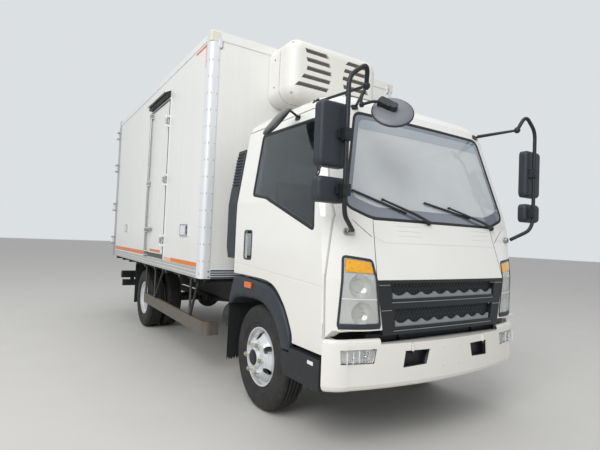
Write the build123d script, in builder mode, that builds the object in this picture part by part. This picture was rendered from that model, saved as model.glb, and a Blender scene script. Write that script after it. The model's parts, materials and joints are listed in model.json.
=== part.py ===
from build123d import *
import os
from math import cos, radians, sin, sqrt

# A light refrigerated truck. Millimetres, X forward, Y to the truck's left, Z up from the ground.
# Stations along the truck are counted from the front axle, forward positive.

os.makedirs("parts", exist_ok=True)

# Whole truck
overall_length = 5995
mirror_reach = 115
wheelbase = 3360
front_overhang = 1055
bumper_x = (overall_length - mirror_reach) / 2
front_axle_x = bumper_x - front_overhang
rear_axle_x = front_axle_x - wheelbase
rear_end_x = bumper_x - overall_length
gap = 9

# Wheels and tyres
tyre_radius = 390
hand_hole_radius = 27
hand_hole_circle = 155
nut_circle_radius = 111.1
front_wheel_y = 790
kingpin_y = 715
twin_middle_y = 737.5
twin_half_spacing = 117.5
running_gap = 0.5

# Frame
rail_half_width = 375
rail_height = 200
rail_top = 760
rail_flange = 65
rail_plate = 7
rail_front_x = front_axle_x + 905
rail_rear_x = rear_end_x + 100
tilt_x = front_axle_x + 945
tilt_z = 745
tilt_bar_radius = 13

# Box body
box_front_x = front_axle_x - 736
box_half_width = 1110
box_floor_z = 905
box_top_z = 3130
box_wall = 80
edge_proud = 6
rod_stand = 38
box_rear_x = rear_end_x + rod_stand
rear_frame_depth = 60
post_leg = 97
skirt_height = 95
hinge_stand = 30
door_thickness = 76

# Side door, on the truck's right
side_door_front_x = front_axle_x - 1950
side_door_rear_x = front_axle_x - 2690
side_door_bottom = 1010
side_door_top = 2781

# Cab
cab_wall = 55
door_shut = 863
door_corner = 55
door_round_above = 2000
window_corner = 32
screen_corner = 55


def place(station):
    """The X of a station counted forward from the front axle."""
    return front_axle_x + station


# The cab's outer form, as level cuts from the sill up to the roof's edge. Columns: height, rear station,
# half width, station where the side ends, corner station and width, front knee station and width, front
# station, and how far the level drops when the form is drawn in by a wall.
cab_levels = [
    (500, -450, 925, 850, 935, 830, 1000, 600, 1012, 0.0),
    (1063, -450, 938, 858, 943, 822, 1000, 633, 1018, 0.0),
    (1430, -450, 938, 815, 868, 882, 890, 800, 916, 0.0),
    (1560, -448, 936, 775, 838, 868, 861, 793, 886, 0.0),
    (2150, -440, 850, 560, 675, 775, 727, 638, 742, 0.3),
]
# Over the edge the roof closes in an arch towards its flat top, whose columns are the same.
roof_top = (2347, -160, 400, 220, 290, 360, 330, 280, 345, 1.0)
roof_angles = (18, 36, 54, 72, 90)
for roof_angle in roof_angles:
    roof_edge = cab_levels[4]
    inward = 1 - cos(radians(roof_angle))
    upward = sin(radians(roof_angle))
    roof_level = [a + (b - a) * inward for a, b in zip(roof_edge, roof_top)]
    roof_level[0] = roof_edge[0] + (roof_top[0] - roof_edge[0]) * upward
    roof_level[-1] = max(roof_edge[-1], upward)
    cab_levels.append(tuple(roof_level))
cab_rear_corner = 60


def cab_form(inset):
    """The cab's outer form drawn in by a wall thickness."""
    with BuildPart() as form:
        for z, rear, half, end, corner, corner_y, knee, knee_y, front, drop in cab_levels:
            back = place(rear + inset)
            side = half - inset
            mid_x = place(corner - 0.7 * inset)
            mid_y = corner_y - 0.7 * inset
            knee_x = place(knee - inset)
            knee_w = knee_y - 0.3 * inset
            round_off = cab_rear_corner * 0.3
            with BuildSketch(Plane.XY.offset(z - drop * inset)):
                with BuildLine():
                    ThreePointArc((knee_x, knee_w), (place(front - inset), 0), (knee_x, -knee_w))
                    ThreePointArc((knee_x, -knee_w), (mid_x, -mid_y), (place(end), -side))
                    Line((place(end), -side), (back + cab_rear_corner, -side))
                    ThreePointArc(
                        (back + cab_rear_corner, -side),
                        (back + round_off, -side + round_off),
                        (back, -side + cab_rear_corner),
                    )
                    Line((back, -side + cab_rear_corner), (back, side - cab_rear_corner))
                    ThreePointArc(
                        (back, side - cab_rear_corner),
                        (back + round_off, side - round_off),
                        (back + cab_rear_corner, side),
                    )
                    Line((back + cab_rear_corner, side), (place(end), side))
                    ThreePointArc((place(end), side), (mid_x, mid_y), (knee_x, knee_w))
                make_face()
        loft(ruled=True)
    return form.part


def side_prism(points, near_y, far_y, grow=0.0, corner=0.0, above=0.0):
    """A side outline, as (station, height) points, carried across the truck from near_y to far_y.

    Its corners above a height are rounded.
    """
    with BuildPart() as prism:
        with BuildSketch(Plane.XZ.offset(-near_y)) as outline:
            with BuildLine():
                Polyline(*[(place(s), z) for s, z in points], close=True)
            make_face()
            if corner:
                fillet(outline.vertices().filter_by(lambda v: v.Z > above), corner)
            if grow:
                offset(amount=grow, kind=Kind.INTERSECTION, mode=Mode.REPLACE)
        extrude(amount=near_y - far_y)
    return prism.part


def front_prism(points, rear_station, front_station, grow=0.0, corner=0.0):
    """A front outline, as (width, height) points, carried along the truck between two stations."""
    with BuildPart() as prism:
        with BuildSketch(Plane.YZ.offset(place(rear_station))) as outline:
            with BuildLine():
                Polyline(*points, close=True)
            make_face()
            if corner:
                fillet(outline.vertices(), corner)
            if grow:
                offset(amount=grow, kind=Kind.INTERSECTION, mode=Mode.REPLACE)
        extrude(amount=front_station - rear_station)
    return prism.part


def block(x0, x1, y0, y1, z0, z1):
    """A plain block between two corners, made apart from any part."""
    with BuildPart() as made:
        with Locations(((x0 + x1) / 2, (y0 + y1) / 2, (z0 + z1) / 2)):
            Box(abs(x1 - x0), abs(y1 - y0), abs(z1 - z0))
    return made.part


def round_bar(start, end, radius):
    """A round bar from one point to another, made apart from any part."""
    path = Vector(*end) - Vector(*start)
    with BuildPart() as made:
        with BuildSketch(Plane(origin=start, z_dir=path)):
            Circle(radius)
        extrude(amount=path.length)
    return made.part


def both_sides(half):
    """A piece on the right and its mirror image on the left."""
    with BuildPart() as pair:
        add(half)
        mirror(about=Plane.XZ)
    return pair.part


def save(piece, label):
    """Names a finished piece and writes it."""
    piece.label = label
    export_step(piece, f"parts/{label}.step")


# Ladder frame: two channels, cross members and the two ears that hold the cab's tilt bar.
# Columns: middle station in X, length, lower and upper height.
cross_members = [
    (rail_front_x - 45, 90, 600, 720),
    (front_axle_x - 560, 70, 718, 753),
    (front_axle_x - 1500, 70, 640, 753),
    (rear_axle_x + 560, 70, 600, 720),
    (rear_axle_x - 560, 70, 600, 720),
    (rail_rear_x + 40, 80, 580, 740),
]
ear_thickness = 14
ear_y = rail_half_width - ear_thickness / 2
ear_eye_radius = 20
tilt_bar_end = rail_half_width + 34
with BuildPart() as frame_rails:
    with BuildSketch(Plane.YZ.offset(rail_rear_x)):
        with BuildLine():
            Polyline(
                (-rail_half_width, rail_top),
                (-rail_half_width + rail_flange, rail_top),
                (-rail_half_width + rail_flange, rail_top - rail_plate),
                (-rail_half_width + rail_plate, rail_top - rail_plate),
                (-rail_half_width + rail_plate, rail_top - rail_height + rail_plate),
                (-rail_half_width + rail_flange, rail_top - rail_height + rail_plate),
                (-rail_half_width + rail_flange, rail_top - rail_height),
                (-rail_half_width, rail_top - rail_height),
                close=True,
            )
        make_face()
    extrude(amount=rail_front_x - rail_rear_x)
    mirror(about=Plane.XZ)
    for member_x, member_length, member_low, member_high in cross_members:
        with Locations((member_x, 0, (member_low + member_high) / 2)):
            Box(member_length, 2 * (rail_half_width - rail_plate), member_high - member_low)
    for side in (-1, 1):
        with BuildSketch(Plane.XZ.offset(-side * ear_y - ear_thickness / 2)):
            with BuildLine():
                Polyline(
                    (rail_front_x - 120, rail_top - rail_height + 20),
                    (rail_front_x, rail_top - rail_height + 20),
                    (tilt_x - 7, tilt_z - 55),
                    (tilt_x - 7, tilt_z),
                    (tilt_x, tilt_z + ear_eye_radius),
                    (rail_front_x - 120, rail_top),
                    close=True,
                )
            make_face()
            with Locations((tilt_x, tilt_z)):
                Circle(ear_eye_radius)
        extrude(amount=ear_thickness)
    with BuildSketch(Plane.XZ.offset(-tilt_bar_end)):
        with Locations((tilt_x, tilt_z)):
            Circle(tilt_bar_radius)
    extrude(amount=2 * tilt_bar_end)
save(frame_rails.part, "frame_rails")

# Front axle: a dropped beam that ends in two kingpin eyes.
beam_width = 60
beam_height = 70
axle_eye_radius = 38
axle_eye_half_height = 50
kingpin_radius = 18
with BuildPart() as front_axle:
    with BuildSketch(Plane.YZ.offset(front_axle_x - beam_width / 2)):
        with BuildLine():
            Polyline(
                (-kingpin_y, tyre_radius + beam_height / 2),
                (-kingpin_y + 90, tyre_radius + beam_height / 2),
                (-kingpin_y + 200, tyre_radius),
                (kingpin_y - 200, tyre_radius),
                (kingpin_y - 90, tyre_radius + beam_height / 2),
                (kingpin_y, tyre_radius + beam_height / 2),
                (kingpin_y, tyre_radius - beam_height / 2),
                (kingpin_y - 90, tyre_radius - beam_height / 2),
                (kingpin_y - 200, tyre_radius - beam_height),
                (-kingpin_y + 200, tyre_radius - beam_height),
                (-kingpin_y + 90, tyre_radius - beam_height / 2),
                (-kingpin_y, tyre_radius - beam_height / 2),
                close=True,
            )
        make_face()
    extrude(amount=beam_width)
    with BuildSketch(Plane.XY.offset(tyre_radius - axle_eye_half_height)):
        with Locations((front_axle_x, -kingpin_y), (front_axle_x, kingpin_y)):
            Circle(axle_eye_radius)
    extrude(amount=2 * axle_eye_half_height)
    with BuildSketch(Plane.XY.offset(tyre_radius - axle_eye_half_height)):
        with Locations((front_axle_x, -kingpin_y), (front_axle_x, kingpin_y)):
            Circle(kingpin_radius + running_gap)
    extrude(amount=2 * axle_eye_half_height, mode=Mode.SUBTRACT)
save(front_axle.part, "front_axle")

# Leaf springs: four packs, each curved, on pads that stand on the axles, with their hanger brackets.
spring_y = 338
spring_width = 60
spring_half_length = 590
front_spring_z = tyre_radius + 1
rear_spring_z = tyre_radius + 62


def spring_pack(axle_x, seat_z, leaves):
    """One pack of curved leaves, its ends in brackets under the frame, on the truck's right."""
    eye_z = rail_top - rail_height - 45
    pack = 12 * leaves
    with BuildPart() as spring:
        with BuildSketch(Plane.XZ.offset(spring_y - spring_width / 2)):
            with BuildLine():
                ThreePointArc(
                    (axle_x - spring_half_length, eye_z),
                    (axle_x, seat_z + pack),
                    (axle_x + spring_half_length, eye_z),
                )
                Line((axle_x + spring_half_length, eye_z), (axle_x + spring_half_length, eye_z - 12))
                Line((axle_x + spring_half_length, eye_z - 12), (axle_x + 110, seat_z))
                Line((axle_x + 110, seat_z), (axle_x - 110, seat_z))
                Line((axle_x - 110, seat_z), (axle_x - spring_half_length, eye_z - 12))
                Line((axle_x - spring_half_length, eye_z - 12), (axle_x - spring_half_length, eye_z))
            make_face()
        extrude(amount=spring_width)
        for end in (-1, 1):
            with Locations((axle_x + end * spring_half_length, -spring_y, eye_z + 22)):
                Box(70, spring_width + 20, 45)
            with BuildSketch(Plane.XZ.offset(spring_y - spring_width / 2 - 10)):
                with Locations((axle_x + end * spring_half_length, eye_z)):
                    Circle(30)
            extrude(amount=spring_width + 20)
    return spring.part


with BuildPart() as leaf_springs:
    add(both_sides(spring_pack(front_axle_x, front_spring_z, 4)))
    add(both_sides(spring_pack(rear_axle_x, rear_spring_z, 6)))
save(leaf_springs.part, "leaf_springs")

# Rear axle: tubes, the differential's round housing and the two stub ends that carry the wheels.
axle_tube_radius = 60
stub_radius = 40
with BuildPart() as rear_axle:
    add(round_bar((rear_axle_x, -545, tyre_radius), (rear_axle_x, 545, tyre_radius), axle_tube_radius))
    add(round_bar((rear_axle_x, -790, tyre_radius), (rear_axle_x, 790, tyre_radius), stub_radius))
    with Locations((rear_axle_x, 0, tyre_radius)):
        Sphere(165)
    add(round_bar((rear_axle_x, 0, tyre_radius), (rear_axle_x + 260, 0, tyre_radius), 70))
save(rear_axle.part, "rear_axle")

# Engine block and driveline.
engine_half_width = 280
with BuildPart() as engine_block:
    add(block(place(-330), place(430), -engine_half_width, engine_half_width, 500, 990))
save(engine_block.part, "engine_block")

with BuildPart() as driveline:
    with BuildSketch(Plane.YZ.offset(place(-330))):
        with Locations((0, 640)):
            Rectangle(360, 360)
    with BuildSketch(Plane.YZ.offset(place(-505))):
        with Locations((0, 640)):
            Rectangle(200, 200)
    loft()
    add(round_bar((place(-500), 0, 640), (place(-1100), 0, 600), 75))
    add(round_bar((place(-1100), 0, 600), (rear_axle_x + 270, 0, tyre_radius + 2), 45))
    add(round_bar((rear_axle_x + 264, 0, tyre_radius + 2), (rear_axle_x + 300, 0, tyre_radius + 2), 60))
save(driveline.part, "driveline")

# Fuel tank on the left and the air tank on the right, each on straps from the frame.
with BuildPart() as fuel_tank:
    with BuildSketch(Plane.YZ.offset(place(-1500))) as tank_section:
        with Locations((590, 560)):
            RectangleRounded(400, 340, 60)
    extrude(amount=700)
    for strap in (150, 550):
        with Locations((place(-1500) + strap, 590, 560)):
            Box(40, 412, 352)
        with Locations((place(-1500) + strap, 382, 640)):
            Box(40, 14, 180)
save(fuel_tank.part, "fuel_tank")

with BuildPart() as air_tank:
    add(round_bar((place(-880), -690, 560), (place(-580), -690, 560), 125))
    add(round_bar((place(-860), -560, 660), (place(-600), -560, 660), 20))
    for strap in (-820, -640):
        with Locations((place(strap), -480, 640)):
            Box(40, 210, 40)
save(air_tank.part, "air_tank")

with BuildPart() as exhaust:
    add(round_bar((place(-1750), 560, 640), (place(-2350), 560, 640), 95))
    add(round_bar((place(-2350), 560, 640), (place(-2560), 560, 640), 32))
    add(round_bar((place(-1640), 560, 640), (place(-1750), 560, 640), 32))
    for strap in (-1850, -2250):
        with Locations((place(strap), 425, 690)):
            Box(40, 100, 40)
save(exhaust.part, "exhaust")

# Side guards: a channel a side whose front end turns inward, on legs and braces under the box bearers.
guard_y = 1000
guard_flange = 30
guard_plate = 4
guard_bottom = 370
guard_top = 495
guard_front_x = place(-880)
guard_rear_x = place(-3120)
guard_bend = 60
guard_return = 150
bearer_bottom = 860
leg_width = 50
leg_plate = 10
brace_radius = 12


def guard_plan(inset):
    """The plan of a side guard's rail, drawn in from its outer face."""
    with BuildSketch(mode=Mode.PRIVATE) as plan:
        with BuildLine():
            outer = -guard_y + inset
            front = guard_front_x - inset
            bend = guard_bend - inset
            Line((guard_rear_x, outer), (front - bend, outer))
            RadiusArc((front - bend, outer), (front, outer + bend), -bend)
            Line((front, outer + bend), (front, -guard_y + guard_return))
            Line((front, -guard_y + guard_return), (guard_rear_x, -guard_y + guard_return))
            Line((guard_rear_x, -guard_y + guard_return), (guard_rear_x, outer))
        make_face()
    return plan.sketch


with BuildPart() as guard_half:
    with BuildSketch(Plane.XY.offset(guard_bottom)):
        add(guard_plan(0))
        add(guard_plan(guard_flange), mode=Mode.SUBTRACT)
    extrude(amount=guard_top - guard_bottom)
    with BuildSketch(Plane.XY.offset(guard_bottom + guard_plate)):
        add(guard_plan(guard_plate))
    extrude(amount=guard_top - guard_bottom - 2 * guard_plate, mode=Mode.SUBTRACT)
    leg_y = -guard_y + guard_plate + leg_plate / 2
    leg_top = bearer_bottom
    for leg_x, brace_x in ((place(-1290), place(-1090)), (place(-2620), place(-2300)), (place(-3060), None)):
        with Locations((leg_x, leg_y, (guard_bottom + 10 + leg_top) / 2)):
            Box(leg_width, leg_plate, leg_top - guard_bottom - 10)
        if brace_x:
            add(round_bar((leg_x, leg_y, guard_top - 30), (brace_x, leg_y, leg_top - 25), brace_radius))
            with Locations((brace_x, leg_y, leg_top - 25)):
                Box(leg_width, leg_plate, 50)
save(both_sides(guard_half.part), "side_guards")

# Rear guard with its two hangers.
with BuildPart() as rear_guard:
    with Locations((rear_end_x + 120, 0, 450)):
        Box(60, 1900, 100)
    for side in (-1, 1):
        with Locations((rear_end_x + 165, side * (rail_half_width + 6), 560)):
            Box(90, 10, 320)
        with Locations((rear_end_x + 140, side * (rail_half_width + 6), 450)):
            Box(60, 10, 100)
save(rear_guard.part, "rear_guard")

# Mudguards: flaps behind the front wheels and behind the rear wheels.
flap_thickness = 8
with BuildPart() as flap_half:
    with Locations((place(-475), -790, 510)):
        Box(flap_thickness, 290, 520)
    with Locations((place(-475), -510, 700)):
        Box(flap_thickness, 270, 60)
    with Locations((rear_axle_x - 510, -745, 555)):
        Box(flap_thickness, 430, 600)
    with Locations((rear_axle_x - 510, -455, 700)):
        Box(flap_thickness, 160, 60)
save(both_sides(flap_half.part), "mudguards")

# Lamps on the chassis: fog lamps in the bumper and tail lamps on the rear guard.
with BuildPart() as lamp_half:
    with Locations((rear_end_x + 95, -800, 585)):
        Box(70, 330, 110)
    with Locations((rear_end_x + 118, -800, 515)):
        Box(20, 60, 30)
save(both_sides(lamp_half.part), "tail_lamps")

# Bumper: one bent shell that wraps round to the steps, with a lip, fog lamp and tow hook windows.
bumper_bottom = 400
bumper_top = 675
bumper_corner_top = 708
bumper_wall = 6
bumper_half_width = 932
bumper_end = 872
bumper_notch_y = 586


def bumper_plan(inset, z):
    """The bumper's plan outline drawn in by a distance, at a height."""
    with BuildSketch(Plane.XY.offset(z), mode=Mode.PRIVATE) as plan:
        with BuildLine():
            side = bumper_half_width - inset
            shoulder = 780 - inset * 0.5
            shoulder_x = place(962 - inset)
            bend_x = place(925 - inset * 0.7)
            bend_y = 880 - inset * 0.7
            ThreePointArc((shoulder_x, shoulder), (bumper_x - inset, 0), (shoulder_x, -shoulder))
            ThreePointArc((shoulder_x, -shoulder), (bend_x, -bend_y), (place(bumper_end), -side))
            Line((place(bumper_end), -side), (place(bumper_end), side))
            ThreePointArc((place(bumper_end), side), (bend_x, bend_y), (shoulder_x, shoulder))
        make_face()
    return plan.sketch


# How the bumper's face turns in at its lower and upper edges. Columns: height, inset.
bumper_levels = [(400, 34), (404, 20), (416, 8), (436, 1), (560, 0), (668, 0), (692, 3), (703, 9), (708, 18)]


def bumper_form(inset):
    """The bumper's outer form drawn in by a wall thickness."""
    with BuildPart() as form:
        for z, turn_in in bumper_levels:
            add(bumper_plan(turn_in + inset, z))
        loft(ruled=True)
    return form.part


plate_spacing_y = 160
plate_spacing_z = 115
plate_z = 561.5
plate_hole_radius = 3.5
shelf_gap_depth = 92
shelf_gap = extrude(bumper_plan(bumper_wall + 2, bumper_top - 10), amount=20) & block(
    place(bumper_end), place(bumper_end + shelf_gap_depth), -bumper_half_width, bumper_half_width, 600, 700
)
fog_window = [(612, 648), (850, 650), (845, 566), (628, 562)]
tow_window = [(201, 623), (404, 625), (419, 522), (225, 530)]
with BuildPart() as bumper:
    add(bumper_form(0))
    add(bumper_form(bumper_wall), mode=Mode.SUBTRACT)
    with Locations((bumper_x, 0, bumper_top + 50)):
        Box(400, 2 * bumper_notch_y, 100, mode=Mode.SUBTRACT)
    add(bumper_plan(0, bumper_top - bumper_wall))
    extrude(amount=bumper_wall)
    add(shelf_gap, mode=Mode.SUBTRACT)
    with BuildSketch(Plane.YZ.offset(place(900))):
        for side in (-1, 1):
            for window in (tow_window, fog_window):
                with BuildLine():
                    Polyline(*[(side * y, z) for y, z in window], close=True)
                make_face()
    extrude(amount=300, mode=Mode.SUBTRACT)
    with BuildSketch(Plane.YZ.offset(place(1000))):
        with Locations((0, plate_z)):
            with GridLocations(plate_spacing_y, plate_spacing_z, 2, 2):
                Circle(plate_hole_radius)
    extrude(amount=100, mode=Mode.SUBTRACT)
    for side in (-1, 1):
        with Locations((place(976), side * 352, 640)):
            Box(140, 12, 60)
save(bumper.part, "bumper")

fog_depth = 40
fog_clearance = 2
with BuildPart() as fog_half:
    add(bumper_plan(1, 560))
    extrude(amount=100)
    add(bumper_plan(fog_depth, 560))
    extrude(amount=100, mode=Mode.SUBTRACT)
    with BuildSketch(Plane.YZ.offset(place(880))):
        with BuildLine():
            Polyline(*[(-y, z) for y, z in fog_window], close=True)
        make_face()
        offset(amount=-fog_clearance, kind=Kind.INTERSECTION, mode=Mode.REPLACE)
    extrude(amount=300, mode=Mode.INTERSECT)
save(both_sides(fog_half.part), "fog_lamps")

# Box bearers: two long sills on the frame, the cross bearers that carry the floor, and a rail under each
# side from which the guards hang.
bearer_count = 9
bearer_spacing = (box_front_x - box_rear_x - 400) / (bearer_count - 1)
side_rail_y = guard_y - guard_plate - leg_plate / 2
with BuildPart() as box_bearers:
    for side in (-1, 1):
        with Locations(((box_front_x + box_rear_x) / 2, side * 340, (rail_top + bearer_bottom) / 2)):
            Box(box_front_x - box_rear_x - 160, 60, bearer_bottom - rail_top)
        with Locations(((box_front_x + box_rear_x) / 2, side * side_rail_y, (bearer_bottom + box_floor_z) / 2)):
            Box(box_front_x - box_rear_x - 220, 40, box_floor_z - bearer_bottom)
    with Locations(((box_front_x + box_rear_x) / 2, 0, (bearer_bottom + box_floor_z) / 2)):
        with GridLocations(bearer_spacing, 0, bearer_count, 1):
            Box(50, 2 * box_half_width - 60, box_floor_z - bearer_bottom)
save(box_bearers.part, "box_bearers")

# Box panels. The corner posts and the rear frame take up the corners, so no two panels cross.
panel_half = box_half_width - edge_proud
wall_front_x = box_front_x - post_leg
wall_rear_x = box_rear_x + rear_frame_depth + door_thickness
floor_top = box_floor_z + box_wall
roof_bottom = box_top_z - box_wall
door_clear = 6
inner_half = panel_half - box_wall
with BuildPart() as box_floor:
    add(block(wall_rear_x, box_front_x - box_wall, -inner_half, inner_half, box_floor_z, floor_top))
save(box_floor.part, "box_floor")

with BuildPart() as box_left_wall:
    add(block(wall_rear_x, wall_front_x, inner_half, panel_half, box_floor_z, roof_bottom))
save(box_left_wall.part, "box_left_wall")

side_door_middle_x = (side_door_front_x + side_door_rear_x) / 2
side_door_middle_z = (side_door_bottom + side_door_top) / 2
door_hole_length = side_door_front_x - side_door_rear_x + 2 * door_clear
door_hole_height = side_door_top - side_door_bottom + 2 * door_clear
with BuildPart() as box_right_wall:
    add(block(wall_rear_x, wall_front_x, -panel_half, -inner_half, box_floor_z, roof_bottom))
    with Locations((side_door_middle_x, -panel_half, side_door_middle_z)):
        Box(door_hole_length, 4 * box_wall, door_hole_height, mode=Mode.SUBTRACT)
save(box_right_wall.part, "box_right_wall")

with BuildPart() as box_front_wall:
    add(
        block(
            box_front_x - box_wall, box_front_x - edge_proud, -inner_half, inner_half, box_floor_z, roof_bottom
        )
    )
save(box_front_wall.part, "box_front_wall")

with BuildPart() as box_roof:
    add(block(wall_rear_x, box_front_x, -box_half_width, box_half_width, roof_bottom, box_top_z))
    chamfer(box_roof.edges().filter_by(Axis.X).group_by(Axis.Z)[-1], 22)
save(box_roof.part, "box_roof")

# Aluminium edges: two rounded front posts, side skirts and the ribbed front skirt.
post_round = 40
with BuildPart() as edge_half:
    with BuildSketch(Plane.XY.offset(box_floor_z)):
        with BuildLine():
            Polyline(
                (wall_front_x, -box_half_width),
                (box_front_x - post_round, -box_half_width),
            )
            RadiusArc(
                (box_front_x - post_round, -box_half_width),
                (box_front_x, -box_half_width + post_round),
                -post_round,
            )
            Polyline(
                (box_front_x, -box_half_width + post_round),
                (box_front_x, -inner_half),
                (wall_front_x, -inner_half),
                (wall_front_x, -box_half_width),
            )
        make_face()
    extrude(amount=roof_bottom - box_floor_z)
    add(
        block(
            wall_rear_x, wall_front_x, -box_half_width, -panel_half, box_floor_z, box_floor_z + skirt_height
        )
    )
    add(
        block(
            box_front_x - edge_proud, box_front_x, -inner_half, 0, box_floor_z, floor_top
        )
    )
    for groove_z in (box_floor_z + 30, box_floor_z + 62):
        add(
            block(
                wall_rear_x, wall_front_x, -box_half_width, -box_half_width + 3, groove_z - 3, groove_z + 3
            ),
            mode=Mode.SUBTRACT,
        )
    for groove_z in (box_floor_z + 20, box_floor_z + 40, box_floor_z + 60):
        add(
            block(
                box_front_x - 4, box_front_x, -inner_half, 0, groove_z - 4, groove_z + 4
            ),
            mode=Mode.SUBTRACT,
        )
save(both_sides(edge_half.part), "box_edges")

# Rear frame: a stainless ring round the two rear doors, with the fixed halves of their hinges.
frame_leg = 70
hinge_pin_radius = 10
hinge_barrel = 40
hinge_play = 2
knuckle_height = 24
rear_hinge_heights = (1150, 1700, 2350, 2900)
rear_hinge_x = box_rear_x - rod_stand + hinge_pin_radius
hinge_y = box_half_width + hinge_stand
door_top_z = box_top_z - frame_leg
door_bottom_z = box_floor_z + frame_leg
with BuildPart() as rear_frame:
    add(block(box_rear_x, wall_rear_x, -box_half_width, box_half_width, box_floor_z, box_top_z))
    add(
        block(
            box_rear_x - 1,
            box_rear_x + door_thickness + 4,
            -box_half_width + frame_leg - 30,
            box_half_width - frame_leg + 30,
            door_bottom_z,
            door_top_z,
        ),
        mode=Mode.SUBTRACT,
    )
    add(
        block(
            box_rear_x,
            wall_rear_x + 1,
            -box_half_width + frame_leg,
            box_half_width - frame_leg,
            door_bottom_z + 15,
            door_top_z - 15,
        ),
        mode=Mode.SUBTRACT,
    )
    for hinge_z in rear_hinge_heights:
        for side in (-1, 1):
            for low in (hinge_z + hinge_barrel + hinge_play, hinge_z - hinge_barrel - hinge_play - knuckle_height):
                high = low + knuckle_height
                add(block(rear_hinge_x, box_rear_x + 32, side * box_half_width, side * hinge_y, low, high))
                add(
                    round_bar(
                        (rear_hinge_x, side * hinge_y, low), (rear_hinge_x, side * hinge_y, high), hinge_pin_radius
                    )
                )
save(rear_frame.part, "rear_frame")

# Side door surround: the silver frame with the fixed hinge halves, the drip hood and the hold-back catches.
surround_leg = 36
side_hinge_heights = (1214, 1887, 2545)
side_hinge_x = side_door_front_x
hood_reach = 70
hood_plate = 8
hood_front_x = place(-1942)
hood_rear_x = place(-2719)
hood_top = 2905
hood_drop = 38
# Columns: front and rear station, lower and upper height.
catches = [(-1104, -1349, 1274, 1389), (-3827, -4009, 1291, 1403)]
catch_proud = 12
with BuildPart() as side_surround:
    add(
        block(
            side_door_rear_x - surround_leg,
            side_door_front_x + surround_leg,
            -box_half_width,
            -panel_half,
            box_floor_z + skirt_height,
            side_door_top + surround_leg,
        )
    )
    with Locations((side_door_middle_x, -panel_half - edge_proud / 2, side_door_middle_z)):
        Box(door_hole_length, edge_proud, door_hole_height, mode=Mode.SUBTRACT)
    with BuildSketch(Plane.YZ.offset(hood_rear_x)):
        with BuildLine():
            Polyline(
                (-panel_half, hood_top),
                (-panel_half - hood_reach, hood_top - hood_drop),
                (-panel_half - hood_reach, hood_top - hood_drop - hood_plate),
                (-panel_half, hood_top - hood_plate),
                close=True,
            )
        make_face()
    extrude(amount=hood_front_x - hood_rear_x)
    for front, rear, low, high in catches:
        add(block(place(rear), place(front), -panel_half - catch_proud, -panel_half, low, high))
        recess_x = (place(front) * 2 + place(rear)) / 3
        add(
            block(recess_x, place(front) - 14, -panel_half - catch_proud, -panel_half - 3, low + 14, high - 14),
            mode=Mode.SUBTRACT,
        )
    for hinge_z in side_hinge_heights:
        for low in (hinge_z + hinge_barrel + hinge_play, hinge_z - hinge_barrel - hinge_play - knuckle_height):
            high = low + knuckle_height
            add(block(side_hinge_x, side_hinge_x + 26, -hinge_y, -hinge_y + 24, low, high))
            add(block(side_hinge_x + 8, side_hinge_x + 26, -hinge_y, -box_half_width, low, high))
            add(round_bar((side_hinge_x, -hinge_y, low), (side_hinge_x, -hinge_y, high), hinge_pin_radius))
save(side_surround.part, "side_surround")

# Side door: leaf, hinges on its front edge, and its lock rod.
rod_radius = 13
side_hinge_y = -hinge_y
with BuildPart() as side_door:
    add(
        block(
            side_door_rear_x,
            side_door_front_x,
            -box_half_width,
            -box_half_width + door_thickness,
            side_door_bottom,
            side_door_top,
        )
    )
    for hinge_z in side_hinge_heights:
        add(
            block(
                side_hinge_x - 90, side_hinge_x, -box_half_width - 8, -box_half_width, hinge_z - 30, hinge_z + 30
            )
        )
        add(
            block(
                side_hinge_x - 12, side_hinge_x, side_hinge_y, -box_half_width, hinge_z - 30, hinge_z + 30
            )
        )
        add(
            round_bar(
                (side_hinge_x, side_hinge_y, hinge_z - hinge_barrel),
                (side_hinge_x, side_hinge_y, hinge_z + hinge_barrel),
                hinge_pin_radius,
            )
        )
    rod_y = -box_half_width - 26
    rod_x = side_door_rear_x + 50
    add(round_bar((rod_x, rod_y, side_door_bottom - 5), (rod_x, rod_y, side_door_top + 5), rod_radius))
    for keeper_z in (side_door_bottom + 40, 1332, 1900, side_door_top - 40):
        add(block(rod_x - 28, rod_x + 28, rod_y - 12, -box_half_width, keeper_z - 28, keeper_z + 28))
    add(block(rod_x, rod_x + 210, rod_y - 8, rod_y + 4, 1322, 1346))
save(side_door.part, "side_door")

# Rear doors: two leaves with hinges at the outer corners and a lock rod each.
rear_leaf_gap = 6


def rear_door(side):
    """One rear leaf; side is -1 on the right and 1 on the left."""
    edge_y = side * (box_half_width - frame_leg + 24)
    pin_y = side * hinge_y
    rod_line = side * 150
    with BuildPart() as leaf:
        add(
            block(
                box_rear_x,
                box_rear_x + door_thickness - 4,
                side * rear_leaf_gap,
                edge_y,
                door_bottom_z + 6,
                door_top_z - 6,
            )
        )
        for hinge_z in rear_hinge_heights:
            add(block(box_rear_x - 8, box_rear_x, edge_y - side * 150, edge_y, hinge_z - 28, hinge_z + 28))
            add(block(box_rear_x - 14, box_rear_x - 6, edge_y - side * 20, pin_y, hinge_z - 28, hinge_z + 28))
            add(block(rear_hinge_x, box_rear_x - 6, pin_y - side * 8, pin_y, hinge_z - 28, hinge_z + 28))
            add(
                round_bar(
                    (rear_hinge_x, pin_y, hinge_z - hinge_barrel),
                    (rear_hinge_x, pin_y, hinge_z + hinge_barrel),
                    hinge_pin_radius,
                )
            )
        rod_x = box_rear_x - rod_stand + rod_radius
        add(round_bar((rod_x, rod_line, door_bottom_z - 10), (rod_x, rod_line, door_top_z + 10), rod_radius))
        for keeper_z in (door_bottom_z + 50, 1320, 2000, door_top_z - 50):
            add(
                block(
                    rod_x, box_rear_x, rod_line - 28, rod_line + 28, keeper_z - 25, keeper_z + 25
                )
            )
        add(block(rod_x - 6, rod_x + 6, rod_line, rod_line + side * 300, 1308, 1332))
    return leaf.part


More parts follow.
